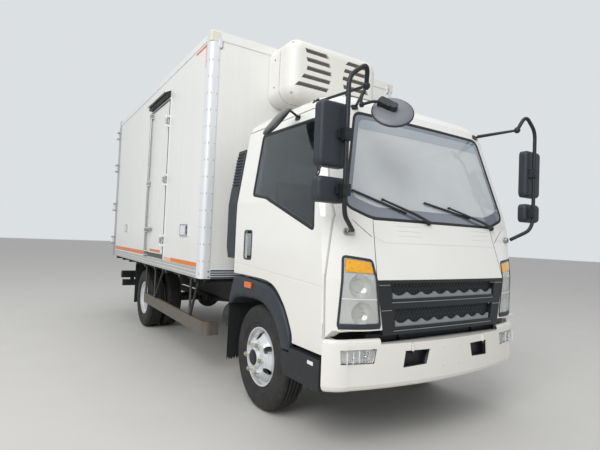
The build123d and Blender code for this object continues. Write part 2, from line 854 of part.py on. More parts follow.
save(rear_door(-1), "rear_door_right")
save(rear_door(1), "rear_door_left")

# Cooling unit on the front wall: a moulded housing, well rounded, with two groups of slanted slots.
unit_depth = 406
unit_half_width = 515
unit_bottom = 2545
unit_top = 3115
unit_corner = 125
unit_front_round = 112
slot_height = 40
slot_depth = 45
# Columns: height of the slot's middle, its outer end above and below, its inner end above and below.
unit_slots = [
    (2999, 372, 356, 130, 92),
    (2921, 356, 343, 92, 74),
    (2843, 340, 348, 70, 62),
    (2763, 372, 400, 72, 82),
    (2683, 424, 458, 92, 112),
]
with BuildPart() as cooling_unit:
    with BuildSketch(Plane.YZ.offset(box_front_x)):
        with Locations((0, (unit_bottom + unit_top) / 2)):
            RectangleRounded(2 * unit_half_width, unit_top - unit_bottom, unit_corner)
    extrude(amount=unit_depth)
    fillet(cooling_unit.faces().sort_by(Axis.X)[-1].edges(), unit_front_round)
    with BuildSketch(Plane.YZ.offset(box_front_x + unit_depth - slot_depth)):
        for z, outer_high, outer_low, inner_high, inner_low in unit_slots:
            for side in (-1, 1):
                with BuildLine():
                    Polyline(
                        (side * outer_high, z + slot_height / 2),
                        (side * inner_high, z + slot_height / 2),
                        (side * inner_low, z - slot_height / 2),
                        (side * outer_low, z - slot_height / 2),
                        close=True,
                    )
                make_face()
    extrude(amount=2 * slot_depth, mode=Mode.SUBTRACT)
save(cooling_unit.part, "cooling_unit")

# Cab: outer form, walls, and the outlines of its doors, windows and front, as (station or width, height).
cab_outer = cab_form(0)
cab_inner = cab_form(cab_wall)
arch_outline = [(-392, 985), (-109, 985), (229, 966), (403, 853), (508, 700), (533, 620)]
door_outline = [(535, 612), (door_shut, 612), (door_shut, 1440), (632, 2160), (-392, 2160)] + arch_outline
window_outline = [(-128, 1616), (98, 1583), (745, 1348), (725, 1760), (600, 2085), (-130, 2100)]
screen_outline = [(-600, 1436), (600, 1436), (800, 1506), (638, 2144), (-638, 2144), (-800, 1506)]
underside = [(-600, 985)] + arch_outline + [(535, 612), (870, 612), (870, 715), (900, 760), (1200, 760)]
underside += [(1200, 400), (-600, 400)]
panel_outline = [(-634, 1068), (634, 1068), (598, 1430), (-598, 1430)]
grille_outline = [(-572, 724), (572, 724), (633, 1060), (-633, 1060)]
lamp_outline = [(-652, 1178), (-838, 1200), (-858, 779), (-597, 776)]
handle_outline = [(-222, 1117), (-94, 1117), (-94, 1339), (-222, 1339)]
door_limit = [(-1200, 400), (-825, 400), (-825, 1560), (-745, 2150), (-745, 2300), (-1200, 2300)]
tunnel_half = 400
tunnel_top = 1040
floor_half = 864
panel_plate = 6
glass_plate = 6
glass_inset = 3
lamp_depth = 50
lamp_lens = 4
lamp_corner = 14
lamp_rim = 9
lug_plate = 16
rear_window_half = 420
rear_window_low = 1520
rear_window_high = 1980

with BuildPart() as cab_shell:
    add(cab_outer)
    add(cab_inner, mode=Mode.SUBTRACT)
    floor_points = [(-448, 1000), (250, 1000), (440, 880), (560, 740), (950, 740), (950, 770), (900, 770)]
    floor_points += [(580, 770), (460, 910), (260, 1030), (-448, 1030)]
    add(side_prism(floor_points, -floor_half, floor_half))
    tunnel_side = tunnel_half + 20
    add(side_prism([(-448, 1000), (640, 1000), (640, 1070), (-448, 1070)], -tunnel_side, tunnel_side))
    add(side_prism([(600, 740), (640, 740), (640, 1070), (600, 1070)], -tunnel_side, tunnel_side))
    add(side_prism([(600, 740), (965, 740), (965, 830), (600, 830)], -tunnel_side, tunnel_side))
    for side in (-1, 1):
        tunnel_flank = [(-448, 1000), (640, 1000), (640, 760), (560, 760)]
        add(side_prism(tunnel_flank, side * tunnel_half, side * tunnel_side))
    add(block(place(-700), place(600), -tunnel_half, tunnel_half, 400, tunnel_top), mode=Mode.SUBTRACT)
    add(block(place(500), place(1200), -tunnel_half, tunnel_half, 400, 800), mode=Mode.SUBTRACT)
    add(side_prism(underside, -1200, 1200), mode=Mode.SUBTRACT)
    hole_limit = front_prism(door_limit, -500, 900, grow=gap)
    door_hole = side_prism(door_outline, -600, -1200, gap, door_corner, door_round_above) & hole_limit
    add(both_sides(door_hole), mode=Mode.SUBTRACT)
    add(front_prism(screen_outline, 500, 1200, corner=screen_corner), mode=Mode.SUBTRACT)
    add(
        block(
            place(-460), place(-380), -rear_window_half, rear_window_half, rear_window_low, rear_window_high
        ),
        mode=Mode.SUBTRACT,
    )

# Front panel: pressed sheet with two groups of three shallow slots.
rib_rows = (1394, 1362, 1330)
with BuildPart() as front_panel:
    add(cab_outer)
    add(cab_form(panel_plate), mode=Mode.SUBTRACT)
    add(front_prism(panel_outline, 600, 1200), mode=Mode.INTERSECT)
    with BuildPart(mode=Mode.PRIVATE) as ribs:
        with BuildSketch(Plane.YZ.offset(place(600))):
            for rib_z in rib_rows:
                with Locations((-300, rib_z), (450, rib_z)):
                    SlotOverall(210, 12)
            with BuildLine():
                Polyline(
                    (-700, 1373),
                    (-532, 1289),
                    (700, 1289),
                    (700, 1284),
                    (-532, 1284),
                    (-700, 1368),
                    close=True,
                )
            make_face()
        extrude(amount=600)
        add(cab_form(2), mode=Mode.SUBTRACT)
    add(ribs.part, mode=Mode.SUBTRACT)
save(front_panel.part, "front_panel")

# Grille: a moulded frame with two rows of openings, a closed back, and in each row a scalloped strip.
# Columns: lower and upper height of the row, half width at its foot and at its top.
grille_rows = [(772, 884, 482, 500), (944, 1040, 512, 528)]
grille_depth = 34
grille_back = 28
grille_corner = 10
grille_line = 4
strip_front = 7
strip_back = 24
tooth_count = 8
tooth_height = 38
tooth_valley = 17
with BuildPart() as grille:
    add(cab_outer)
    add(front_prism(grille_outline, 600, 1200, corner=grille_corner), mode=Mode.INTERSECT)
    add(cab_form(grille_depth), mode=Mode.SUBTRACT)
    for low, high, half_low, half_high in grille_rows:
        row_outline = [(-half_low, low), (half_low, low), (half_high, high), (-half_high, high)]
        row_hole = front_prism(row_outline, 600, 1200, corner=grille_corner) - cab_form(grille_back)
        add(row_hole, mode=Mode.SUBTRACT)
        line_outline = [(-half_high, low - 20), (half_high, low - 20)]
        line_outline += [(half_high, low - 20 + grille_line), (-half_high, low - 20 + grille_line)]
        add(front_prism(line_outline, 600, 1200) - cab_form(3), mode=Mode.SUBTRACT)
save(grille.part, "grille")

with BuildPart() as grille_strips:
    with BuildSketch(Plane.YZ.offset(place(600))):
        for low, high, half_low, half_high in grille_rows:
            strip_half = half_low - grille_corner - 2
            tooth = 2 * strip_half / tooth_count
            with BuildLine():
                for number in range(tooth_count):
                    tooth_start = -strip_half + number * tooth
                    ThreePointArc(
                        (tooth_start, low + tooth_height),
                        (tooth_start + tooth / 2, low + tooth_valley),
                        (tooth_start + tooth, low + tooth_height),
                    )
                Line((strip_half, low + tooth_height), (strip_half, low))
                Line((strip_half, low), (-strip_half, low))
                Line((-strip_half, low), (-strip_half, low + tooth_height))
            make_face()
    extrude(amount=600)
    add(cab_form(strip_front), mode=Mode.INTERSECT)
    add(cab_form(strip_back), mode=Mode.SUBTRACT)
save(grille_strips.part, "grille_strips")

# Headlamps: a clear cover each over a housing with two round bowls.
# Columns: width and height of the bowl's middle, and the radius it is turned to.
lamp_bowls = [(742, 1024, 76), (726, 862, 70)]
bowl_front = 10
bowl_centre = 1004
with BuildPart() as lamp_side:
    add(cab_form(1))
    add(cab_form(1 + lamp_lens), mode=Mode.SUBTRACT)
    add(front_prism(lamp_outline, 600, 1200, corner=lamp_corner), mode=Mode.INTERSECT)
save(both_sides(lamp_side.part), "headlamps")

with BuildPart() as housing_side:
    add(cab_form(bowl_front))
    for bowl_y, bowl_z, bowl_radius in lamp_bowls:
        with Locations((place(bowl_centre - bowl_y * 0.02), -bowl_y, bowl_z)):
            Sphere(bowl_radius, mode=Mode.SUBTRACT)
    add(cab_form(1 + lamp_lens) - front_prism(lamp_outline, 600, 1200, grow=-lamp_rim))
    add(cab_form(lamp_depth), mode=Mode.SUBTRACT)
    add(front_prism(lamp_outline, 600, 1200, corner=lamp_corner), mode=Mode.INTERSECT)
save(both_sides(housing_side.part), "headlamp_housings")

shell_solid = cab_shell.part
shell_solid -= front_prism(panel_outline, 600, 1200) - cab_form(panel_plate)
shell_solid -= front_prism(grille_outline, 600, 1200, grow=1) - cab_form(grille_depth + 1)
for flip in (1, -1):
    flipped = [(flip * y, z) for y, z in lamp_outline]
    shell_solid -= front_prism(flipped, 600, 1200, grow=1) - cab_form(lamp_depth + 1)
    lug_middle = flip * (rail_half_width + lug_plate)
    lug_outline = [(905, 805), (965, 805), (965, 715), (915, 715)]
    shell_solid += side_prism(lug_outline, lug_middle - lug_plate / 2, lug_middle + lug_plate / 2)
    shell_solid -= round_bar(
        (tilt_x, lug_middle - lug_plate, tilt_z),
        (tilt_x, lug_middle + lug_plate, tilt_z),
        tilt_bar_radius + running_gap,
    )
save(shell_solid, "cab_shell")

with BuildPart() as cab_glass:
    add(cab_form(glass_inset))
    add(cab_form(glass_inset + glass_plate), mode=Mode.SUBTRACT)
    add(front_prism(screen_outline, 500, 1200, corner=screen_corner), mode=Mode.INTERSECT)
    add(
        block(
            place(-440), place(-434), -rear_window_half, rear_window_half, rear_window_low, rear_window_high
        )
    )
save(cab_glass.part, "cab_glass")

# Cab doors and their glass. A door's inner part is set back from its outer lip all round, so that the edge
# behind swings clear; two hinge barrels stand in its front edge, and the skin has a handle recess and a crease.
cab_hinge_x = place(858)
cab_hinge_y = 930
door_lip = 15
door_step = 12
handle_recess = 24
handle_corner = 22
crease_depth = 2.5
crease_outline = [(-500, 1087), (900, 1012), (900, 1002), (-500, 1077)]
barrel_radius = 7
cab_hinge_heights = (760, 1050)


def cab_door():
    """The right cab door, with its window cut."""
    with BuildPart() as door:
        add(cab_form(door_lip))
        add(cab_inner, mode=Mode.SUBTRACT)
        inner_edge = side_prism(door_outline, -600, -1200, -door_step, door_corner, door_round_above)
        add(inner_edge & front_prism(door_limit, -500, 900), mode=Mode.INTERSECT)
        outer_edge = side_prism(door_outline, -600, -1200, 0, door_corner, door_round_above)
        add((cab_outer - cab_form(door_lip)) & outer_edge & front_prism(door_limit, -500, 900))
        add(side_prism(window_outline, -600, -1200, corner=window_corner), mode=Mode.SUBTRACT)
        recess = side_prism(handle_outline, -600, -1200, corner=handle_corner) - cab_form(handle_recess)
        add(recess, mode=Mode.SUBTRACT)
        add(side_prism(crease_outline, -600, -1200) - cab_form(crease_depth), mode=Mode.SUBTRACT)
        for z in cab_hinge_heights:
            add(
                round_bar(
                    (cab_hinge_x, -cab_hinge_y, z - 40), (cab_hinge_x, -cab_hinge_y, z + 40), barrel_radius
                )
            )
    return door.part


def door_glass():
    """The glass of the right cab door."""
    with BuildPart() as glass:
        add(cab_form(glass_inset + 1))
        add(cab_form(glass_inset + 1 + glass_plate), mode=Mode.SUBTRACT)
        add(side_prism(window_outline, -600, -1200, corner=window_corner), mode=Mode.INTERSECT)
    return glass.part


save(cab_door(), "cab_door_right")
save(mirror(cab_door(), about=Plane.XZ), "cab_door_left")
save(door_glass(), "door_glass_right")
save(mirror(door_glass(), about=Plane.XZ), "door_glass_left")

# Wipers: two arms and blades close over the windscreen's foot.
with BuildPart() as wipers:
    for pivot_y in (-180, 420):
        add(round_bar((place(925), pivot_y, 1428), (place(905), pivot_y - 330, 1515), 7))
        add(round_bar((place(914), pivot_y - 60, 1462), (place(905), pivot_y - 560, 1535), 6))
save(wipers.part, "wipers")

# Inside the cab: dashboard with its steering column, steering wheel and seats.
driver_y = 440
wheel_tilt = 32
column_axis = (-sin(radians(wheel_tilt)), 0, cos(radians(wheel_tilt)))
wheel_centre = (place(420), driver_y, 1440)


def along_column(distance):
    """The point on the steering column this far below the wheel's centre."""
    return tuple(c - distance * a for c, a in zip(wheel_centre, column_axis))


with BuildPart() as dashboard:
    add(
        side_prism(
            [(560, 1270), (610, 1370), (790, 1385), (800, 1080), (650, 1080)], -740, 740
        )
    )
    add(round_bar(along_column(60), along_column(400), 32))
save(dashboard.part, "dashboard")

steering_rim_radius = 215
with BuildPart() as steering_wheel:
    rim_plane = Plane(origin=wheel_centre, x_dir=(0, 1, 0), z_dir=column_axis)
    with BuildSketch(Plane(origin=wheel_centre, x_dir=(0, 1, 0), z_dir=rim_plane.y_dir)):
        with Locations((steering_rim_radius, 0)):
            RegularPolygon(14, 8)
    revolve(axis=Axis(wheel_centre, column_axis))
    with BuildSketch(rim_plane.offset(-50)):
        Circle(50)
    extrude(amount=62)
    with BuildSketch(rim_plane.offset(-10)):
        Rectangle(2 * steering_rim_radius, 40)
        with Locations((0, -steering_rim_radius / 2)):
            Rectangle(40, steering_rim_radius)
    extrude(amount=14)
save(steering_wheel.part, "steering_wheel")

seat_places = [(driver_y, 480), (-20, 320), (-440, 480)]
with BuildPart() as seats:
    for seat_y, seat_width in seat_places:
        add(
            side_prism(
                [
                    (-120, 1075),
                    (330, 1075),
                    (345, 1180),
                    (300, 1210),
                    (-60, 1190),
                    (-190, 1800),
                    (-320, 1800),
                    (-250, 1075),
                ],
                seat_y - seat_width / 2,
                seat_y + seat_width / 2,
            )
        )
save(seats.part, "seats")

# Wheel arch trims on the cab: a face ring and a liner each.
trim_face = 945
trim_outer = [(-462, 735), (-440, 860), (-395, 955), (-340, 972), (-109, 972), (222, 952), (390, 840)]
trim_outer += [(492, 690), (515, 627), (515, 560), (398, 560)]
liner_radius = 430


def arch_point(angle, radius):
    """A point on a circle about the front wheel's centre, as station and height."""
    return (radius * cos(radians(angle)), tyre_radius + radius * sin(radians(angle)))


arch_inside = [arch_point(a, liner_radius) for a in (23.3, 35, 50, 70, 90)]
arch_inside += [(-284, 820), (-380, 790), (-425, 735)]
liner_outside = [arch_point(a, liner_radius + 10) for a in (23.3, 35, 50, 70, 90)]
liner_outside += [(-284, 830), (-388, 799), (-436, 735)]
with BuildPart() as trim_half:
    add(side_prism(trim_outer + arch_inside, -trim_face, -trim_face + 40))
    add(side_prism(liner_outside + arch_inside[::-1], -trim_face + 40, -610))
save(both_sides(trim_half.part), "arch_trims")

# Steps under the doors, carried by the frame.
with BuildPart() as step_half:
    add(side_prism([(524, 586), (865, 586), (865, 398), (480, 398), (428, 450), (428, 550), (524, 550)], -945, -700))
    add(side_prism([(470, 560), (830, 560), (830, 440), (470, 440)], -925, -690), mode=Mode.SUBTRACT)
    add(block(place(620), place(700), -rail_half_width - 330, -rail_half_width, 562, 584))
save(both_sides(step_half.part), "steps")

# Air ducts behind the cab's rear corners, with louvres in their upper part.
duct_front = -403
duct_width = 62
duct_corner = 18
duct_proud = 5
# Columns: height, rear station and the cab's half width there.
duct_levels = [(1109, -545, 938), (1200, -580, 938), (1560, -585, 936), (1960, -585, 877.7), (2028, -560, 867.8)]
louvre_count = 11
louvre_low = 1722
louvre_pitch = 27
louvre_height = 12
louvre_depth = 11
with BuildPart() as duct_half:
    for z, rear, half in duct_levels:
        outer = half + duct_proud
        with BuildSketch(Plane.XY.offset(z)):
            with BuildLine():
                Polyline(
                    (place(duct_front), -outer),
                    (place(rear + duct_corner), -outer),
                    (place(rear), -outer + duct_corner),
                    (place(rear), -outer + duct_width),
                    (place(duct_front), -outer + duct_width),
                    close=True,
                )
            make_face()
    loft(ruled=True)
    for i in range(louvre_count):
        z = louvre_low + i * louvre_pitch
        lean = (z - duct_levels[2][0]) / (duct_levels[3][0] - duct_levels[2][0])
        outer = duct_levels[2][2] + (duct_levels[3][2] - duct_levels[2][2]) * lean + duct_proud
        with Locations((place(-520), -outer, z)):
            Box(180, 2 * louvre_depth, louvre_height, mode=Mode.SUBTRACT)
    add(cab_outer, mode=Mode.SUBTRACT)
save(both_sides(duct_half.part), "pillar_vents")

# Mirror arms: a bent tube on each front corner, two stays to the roof, clamps, and the look-down arm.
look_down_radius = 127
look_down_rim = 8
look_down_dome = 10
look_down_foot_end = 62
look_down_facing = (0.687, -0.481, 0.5446)
look_down_x = bumper_x + mirror_reach - look_down_rim * look_down_facing[0]
look_down_x -= look_down_radius * sqrt(1 - look_down_facing[0] ** 2)
look_down_centre = (look_down_x, -628, 2062)


def along_facing(distance):
    """The point this far before the look-down mirror's glass, on the side of its foot."""
    return tuple(c + distance * f for c, f in zip(look_down_centre, look_down_facing))


look_down_foot = round_bar(along_facing(look_down_rim + look_down_dome), along_facing(look_down_foot_end), 24)
look_down_bend = (place(1010), -770, 2150)
tube_radius = 14
tube_x = place(1047)
tube_y = 945
joint = (place(1000), -777, 2211)
with BuildPart() as arm_half:
    arm_path = [
        (place(952), -801, 1354),
        (place(1030), -925, 1430),
        (tube_x, -tube_y, 1500),
        (tube_x, -tube_y, 2220),
        (tube_x, -810, 2325),
        joint,
    ]
    for start, end in zip(arm_path, arm_path[1:]):
        add(round_bar(start, end, tube_radius))
    for bend in arm_path[1:-1]:
        with Locations(bend):
            Sphere(tube_radius)
    with Locations(joint):
        Sphere(24)
    add(round_bar(joint, (place(745), -636, 2185), 10))
    add(round_bar(joint, (place(520), -800, 2225), 10))
    for clamp_z in (1885, 1572):
        add(block(place(1016), tube_x + 22, -tube_y - 24, -tube_y + 24, clamp_z - 34, clamp_z + 34))
with BuildPart() as mirror_arms:
    add(both_sides(arm_half.part))
    add(round_bar(joint, look_down_bend, 12))
    add(round_bar(look_down_bend, along_facing(look_down_foot_end - 12), 12))
    with Locations(look_down_bend):
        Sphere(12)
    add(look_down_foot, mode=Mode.SUBTRACT)
    add(cab_outer, mode=Mode.SUBTRACT)
save(mirror_arms.part, "mirror_arms")

# Columns: outer edge, lower and upper height of each head on the right arm.
head_table = [(1100, 1700, 2072), (1105, 1500, 1645)]
head_inner = 895
head_rear_x = place(950)
head_depth = 65
head_round = 24
pocket_rim = 10
pocket_depth = 3
with BuildPart() as head_half:
    for outer, low, high in head_table:
        head_size = (outer - head_inner, high - low)
        head_middle = (-(outer + head_inner) / 2, (low + high) / 2)
        with BuildSketch(Plane.YZ.offset(head_rear_x)):
            with Locations(head_middle):
                RectangleRounded(*head_size, 36)
        extrude(amount=head_depth)
    fillet(head_half.faces().filter_by(Plane.YZ).group_by(Axis.X)[-1].edges(), head_round)
    for outer, low, high in head_table:
        with BuildSketch(Plane.YZ.offset(head_rear_x)):
            with Locations((-(outer + head_inner) / 2, (low + high) / 2)):
                RectangleRounded(outer - head_inner - 2 * pocket_rim, high - low - 2 * pocket_rim, 28)
        extrude(amount=pocket_depth, mode=Mode.SUBTRACT)
with BuildPart() as mirrors:
    add(both_sides(head_half.part))
    with BuildSketch(Plane(origin=look_down_centre, z_dir=look_down_facing)):
        Circle(look_down_radius)
    extrude(amount=look_down_rim)
    with Locations(Plane(origin=along_facing(look_down_rim), z_dir=look_down_facing)):
        Cone(look_down_radius - 3, look_down_radius - 70, look_down_dome, align=(Align.CENTER, Align.CENTER, Align.MIN))
    add(look_down_foot)
save(mirrors.part, "mirrors")

# Kerb mirror over the right door's window.
with BuildPart() as kerb_mirror:
    with BuildSketch(Plane.YZ.offset(place(285))):
        with BuildLine():
            Polyline((-935, 2185), (-1100, 1975), (-1115, 1985), (-960, 2200), close=True)
        make_face()
    extrude(amount=180)
    fillet(kerb_mirror.edges().filter_by(lambda e: e.length < 35), 45)
    add(round_bar((place(375), -845, 2140), (place(375), -950, 2188), 9))
save(kerb_mirror.part, "kerb_mirror")

# Knuckles: a fork round the axle's eye, its kingpin, the backplate and the spindle.
spindle_radius = 25
fork_half_height = 92
spindle_end_y = 862
with BuildPart() as knuckle_half:
    for low in (tyre_radius - fork_half_height, tyre_radius + axle_eye_half_height + 4):
        with BuildSketch(Plane.XY.offset(low)):
            with Locations((front_axle_x, -kingpin_y)):
                Circle(axle_eye_radius)
            with Locations((front_axle_x, -kingpin_y - 30)):
                Rectangle(2 * axle_eye_radius, 60)
        extrude(amount=fork_half_height - axle_eye_half_height - 4)
    add(
        round_bar(
            (front_axle_x, -kingpin_y, tyre_radius - fork_half_height),
            (front_axle_x, -kingpin_y, tyre_radius + fork_half_height),
            kingpin_radius,
        )
    )
    with Locations((front_axle_x, -kingpin_y - 52, tyre_radius)):
        Box(2 * axle_eye_radius, 16, 2 * fork_half_height)
    add(
        round_bar(
            (front_axle_x, -kingpin_y - 45, tyre_radius), (front_axle_x, -spindle_end_y, tyre_radius), spindle_radius
        )
    )
    add(round_bar((front_axle_x, -766, tyre_radius), (front_axle_x, -774, tyre_radius), 150))
save(knuckle_half.part, "knuckle_right")
save(mirror(knuckle_half.part, about=Plane.XZ), "knuckle_left")

# Wheels. Each profile is drawn outward from the rim's middle, as outward distance and radius.
rim_half = [(83, 218), (76, 218), (73, 210), (52, 209), (42, 192)]
rim_back = [(-46, 185), (-56, 202), (-83, 207)]
rim_profile = rim_half + [(-o, r) for o, r in rim_half[::-1]] + rim_back[::-1] + [(-o, r) for o, r in rim_back]
disc_profile = [(26, 186), (36, 186), (76, 174), (112, 142), (117.5, 132), (117.5, 82), (110.5, 82)]
disc_profile += [(110.5, 130), (70, 165), (26, 179)]
# A tyre is drawn in flat sides, outside from edge to edge and inside from bead to bead.
tyre_sides = 32
tyre_outside = [(74, 221), (99, 280), (99, 338), (84, 375), (62, 390)]
tyre_inside = [(74, 213), (80, 300), (50, 370)]


def turned(profile, axle_x, middle_y, outward):
    """A closed profile turned about a wheel's axle; outward is -1 on the right."""
    with BuildPart() as ring:
        with BuildSketch(Plane.YZ.offset(axle_x)):
            with BuildLine():
                Polyline(*[(middle_y + outward * o, tyre_radius + r) for o, r in profile], close=True)
            make_face()
        revolve(axis=Axis((axle_x, 0, tyre_radius), (0, 1, 0)))
    return ring.part


def tyre(axle_x, middle_y):
    """A tyre as rings of flat sides, hollow between its beads."""
    with BuildPart() as made:
        for half, sign in ((tyre_outside, Mode.ADD), (tyre_inside, Mode.SUBTRACT)):
            for o, r in half + [(-o, r) for o, r in half[::-1]]:
                with BuildSketch(Plane.XZ.offset(-middle_y + o)):
                    with Locations((axle_x, tyre_radius)):
                        RegularPolygon(r, tyre_sides, major_radius=False, rotation=90 + 180 / tyre_sides)
            loft(ruled=True, mode=sign)
    return made.part


def rim_and_disc(axle_x, middle_y, outward):
    """A rim with its disc, six hand holes cut in it."""
    with BuildPart() as made:
        add(turned(rim_profile, axle_x, middle_y, outward))
        add(turned(disc_profile, axle_x, middle_y, outward))
        with BuildSketch(Plane.XZ.offset(-middle_y)):
            with Locations((axle_x, tyre_radius)):
                with PolarLocations(hand_hole_circle, 6, start_angle=30):
                    Circle(hand_hole_radius)
        extrude(amount=-outward * 140, mode=Mode.SUBTRACT)
    return made.part


def wheel_nuts(axle_x, face_y, outward, length):
    """Six nuts on the wheel's bolt circle, each a little stud standing outward."""
    with BuildPart() as made:
        with BuildSketch(Plane.XZ.offset(-face_y)):
            with Locations((axle_x, tyre_radius)):
                with PolarLocations(nut_circle_radius, 6, start_angle=0):
                    RegularPolygon(17, 6)
        extrude(amount=-outward * length)
    return made.part


hub_profile = [(-5, 25.5), (-5, 90), (104, 90), (108, 128), (111, 128), (111, 84), (119, 84), (140, 60), (140, 0)]
hub_profile += [(76, 0), (76, 25.5)]
with BuildPart() as front_wheel_half:
    add(rim_and_disc(front_axle_x, -front_wheel_y, -1))
    add(turned(hub_profile, front_axle_x, -front_wheel_y, -1))
    add(wheel_nuts(front_axle_x, -front_wheel_y - 115, -1, 34))
save(front_wheel_half.part, "front_wheel_right")
save(mirror(front_wheel_half.part, about=Plane.XZ), "front_wheel_left")
save(tyre(front_axle_x, -front_wheel_y), "front_tyre_right")
save(tyre(front_axle_x, front_wheel_y), "front_tyre_left")

# Rear twins: hub and drum profile counted outward from the plane where the two discs meet.
rear_hub_profile = [(-135, 150), (-135, 163), (-9, 163), (-7, 128), (7, 128), (7, 81.5), (100, 81.5)]
rear_hub_profile += [(112, 60), (112, 0), (56, 0), (56, 40.5), (-100, 40.5), (-100, 80), (-22, 80), (-22, 150)]
with BuildPart() as rear_wheel_half:
    add(rim_and_disc(rear_axle_x, -twin_middle_y - twin_half_spacing, 1))
    add(rim_and_disc(rear_axle_x, -twin_middle_y + twin_half_spacing, -1))
    add(turned(rear_hub_profile, rear_axle_x, -twin_middle_y, -1))
    add(wheel_nuts(rear_axle_x, -twin_middle_y - 5, -1, 40))
save(rear_wheel_half.part, "rear_wheel_right")
save(mirror(rear_wheel_half.part, about=Plane.XZ), "rear_wheel_left")
with BuildPart() as rear_tyre_half:
    add(tyre(rear_axle_x, -twin_middle_y - twin_half_spacing))
    add(tyre(rear_axle_x, -twin_middle_y + twin_half_spacing))
save(rear_tyre_half.part, "rear_tyre_right")
save(mirror(rear_tyre_half.part, about=Plane.XZ), "rear_tyre_left")
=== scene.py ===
import bmesh
import bpy
import json
import math
from mathutils import Matrix, Vector
from mathutils.bvhtree import BVHTree


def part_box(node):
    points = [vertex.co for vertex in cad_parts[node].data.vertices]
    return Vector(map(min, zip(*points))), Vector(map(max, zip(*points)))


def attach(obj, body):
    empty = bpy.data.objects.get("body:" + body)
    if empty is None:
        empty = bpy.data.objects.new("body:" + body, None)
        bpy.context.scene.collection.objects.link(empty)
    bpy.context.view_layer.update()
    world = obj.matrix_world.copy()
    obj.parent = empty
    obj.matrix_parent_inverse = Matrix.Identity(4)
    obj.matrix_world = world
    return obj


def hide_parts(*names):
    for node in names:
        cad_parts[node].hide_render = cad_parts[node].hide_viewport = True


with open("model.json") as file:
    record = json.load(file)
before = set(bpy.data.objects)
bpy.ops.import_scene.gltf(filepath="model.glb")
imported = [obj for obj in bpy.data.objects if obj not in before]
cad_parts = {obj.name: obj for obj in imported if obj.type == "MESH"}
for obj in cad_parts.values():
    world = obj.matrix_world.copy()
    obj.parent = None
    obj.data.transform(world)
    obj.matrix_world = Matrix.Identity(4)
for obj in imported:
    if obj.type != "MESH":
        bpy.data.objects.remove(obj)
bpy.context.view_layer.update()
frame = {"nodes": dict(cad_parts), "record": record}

# Places taken from the frame. The axle's place is in metres, as the frame gives it. All other sizes are in
# millimetres: stations ahead of the front axle, widths to the truck's left, and heights over the ground.
MM = 0.001
FRONT_AXLE_X = (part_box("front_tyre_right")[0].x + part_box("front_tyre_right")[1].x) / 2
REAR_AXLE = ((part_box("rear_tyre_right")[0].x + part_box("rear_tyre_right")[1].x) / 2 - FRONT_AXLE_X) / MM
WHEEL_HEIGHT = (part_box("front_tyre_right")[0].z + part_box("front_tyre_right")[1].z) / 2 / MM
PANEL_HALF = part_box("box_left_wall")[1].y / MM
EDGE_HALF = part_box("box_edges")[1].y / MM
BOX_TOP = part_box("box_roof")[1].z / MM
BOX_FRONT = (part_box("box_roof")[1].x - FRONT_AXLE_X) / MM
REAR_HINGE_STAND = 38
BOX_REAR = (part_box("rear_frame")[0].x - FRONT_AXLE_X) / MM + REAR_HINGE_STAND
SIDES = ((-1, "right"), (1, "left"))
AHEAD, LEFT, UP = Vector((1, 0, 0)), Vector((0, 1, 0)), Vector((0, 0, 1))
# How far out a ray starts that looks at the truck from ahead or from a side, clear of all its pieces.
OUTSIDE = 1600


def at(station, across, height, side=1):
    """A point of the truck, from millimetres to metres. Where a side is given, it lies that way across."""
    return Vector((FRONT_AXLE_X + station * MM, side * across * MM, height * MM))


# Materials


def linear(hex_colour):
    """An sRGB hex colour as linear red, green, blue and alpha."""
    parts = [int(hex_colour[i:i + 2], 16) / 255 for i in (1, 3, 5)]
    return tuple(c / 12.92 if c <= 0.04045 else ((c + 0.055) / 1.055) ** 2.4 for c in parts) + (1.0,)


def per(size_mm):
    """The scale of a pattern whose grains, threads or waves are this many millimetres."""
    return 1 / (size_mm * MM)


def add(tree, kind, inputs, out=0, **settings):
    """Adds a node with its settings, and with its inputs as links, hex colours or values."""
    made = tree.nodes.new(kind)
    for name, value in settings.items():
        setattr(made, name, value)
    for name, value in inputs.items():
        if isinstance(value, bpy.types.NodeSocket):
            tree.links.new(value, made.inputs[name])
        else:
            made.inputs[name].default_value = linear(value) if isinstance(value, str) else value
    return made.outputs[out] if made.outputs else made


def started(name):
    """An empty material, its tree, and the truck's own coordinates in metres."""
    material = bpy.data.materials.new(name)
    material.use_nodes = True
    tree = material.node_tree
    tree.nodes.clear()
    return material, tree, add(tree, "ShaderNodeTexCoord", {}, out="Object")


def finished(material, tree, sockets):
    """The material with its surface: each socket is a plain value or comes from a pattern."""
    surface = add(tree, "ShaderNodeBsdfPrincipled", sockets)
    add(tree, "ShaderNodeOutputMaterial", {"Surface": surface})
    return material


def baked_enamel(name, clean, dusty):
    """Sheet steel, sprayed and baked: a deep gloss with a faint orange peel, dusty towards the road."""
    material, tree, place = started(name)
    height = add(tree, "ShaderNodeSeparateXYZ", {"Vector": place}, out="Z")
    rise = add(tree, "ShaderNodeMapRange", {"Value": height, "From Min": 0.35, "From Max": 1.25})
    cloud = add(tree, "ShaderNodeTexNoise", {"Vector": place, "Scale": per(160), "Detail": 4.0})
    cloud = add(tree, "ShaderNodeMapRange", {"Value": cloud, "To Min": 0.7, "To Max": 1.25})
    washed = add(tree, "ShaderNodeMath", {0: rise, 1: cloud}, operation="MULTIPLY", use_clamp=True)
    paint = add(tree, "ShaderNodeMix", {0: washed, 6: dusty, 7: clean}, out=2, data_type="RGBA")
    peel = add(tree, "ShaderNodeTexNoise", {"Vector": place, "Scale": per(7), "Detail": 1.5})
    return finished(material, tree, {
        "Base Color": paint, "Roughness": 0.2, "IOR": 1.5, "Coat Weight": 0.5, "Coat Roughness": 0.04,
        "Normal": add(tree, "ShaderNodeBump", {"Height": peel, "Distance": 0.03 * MM})})


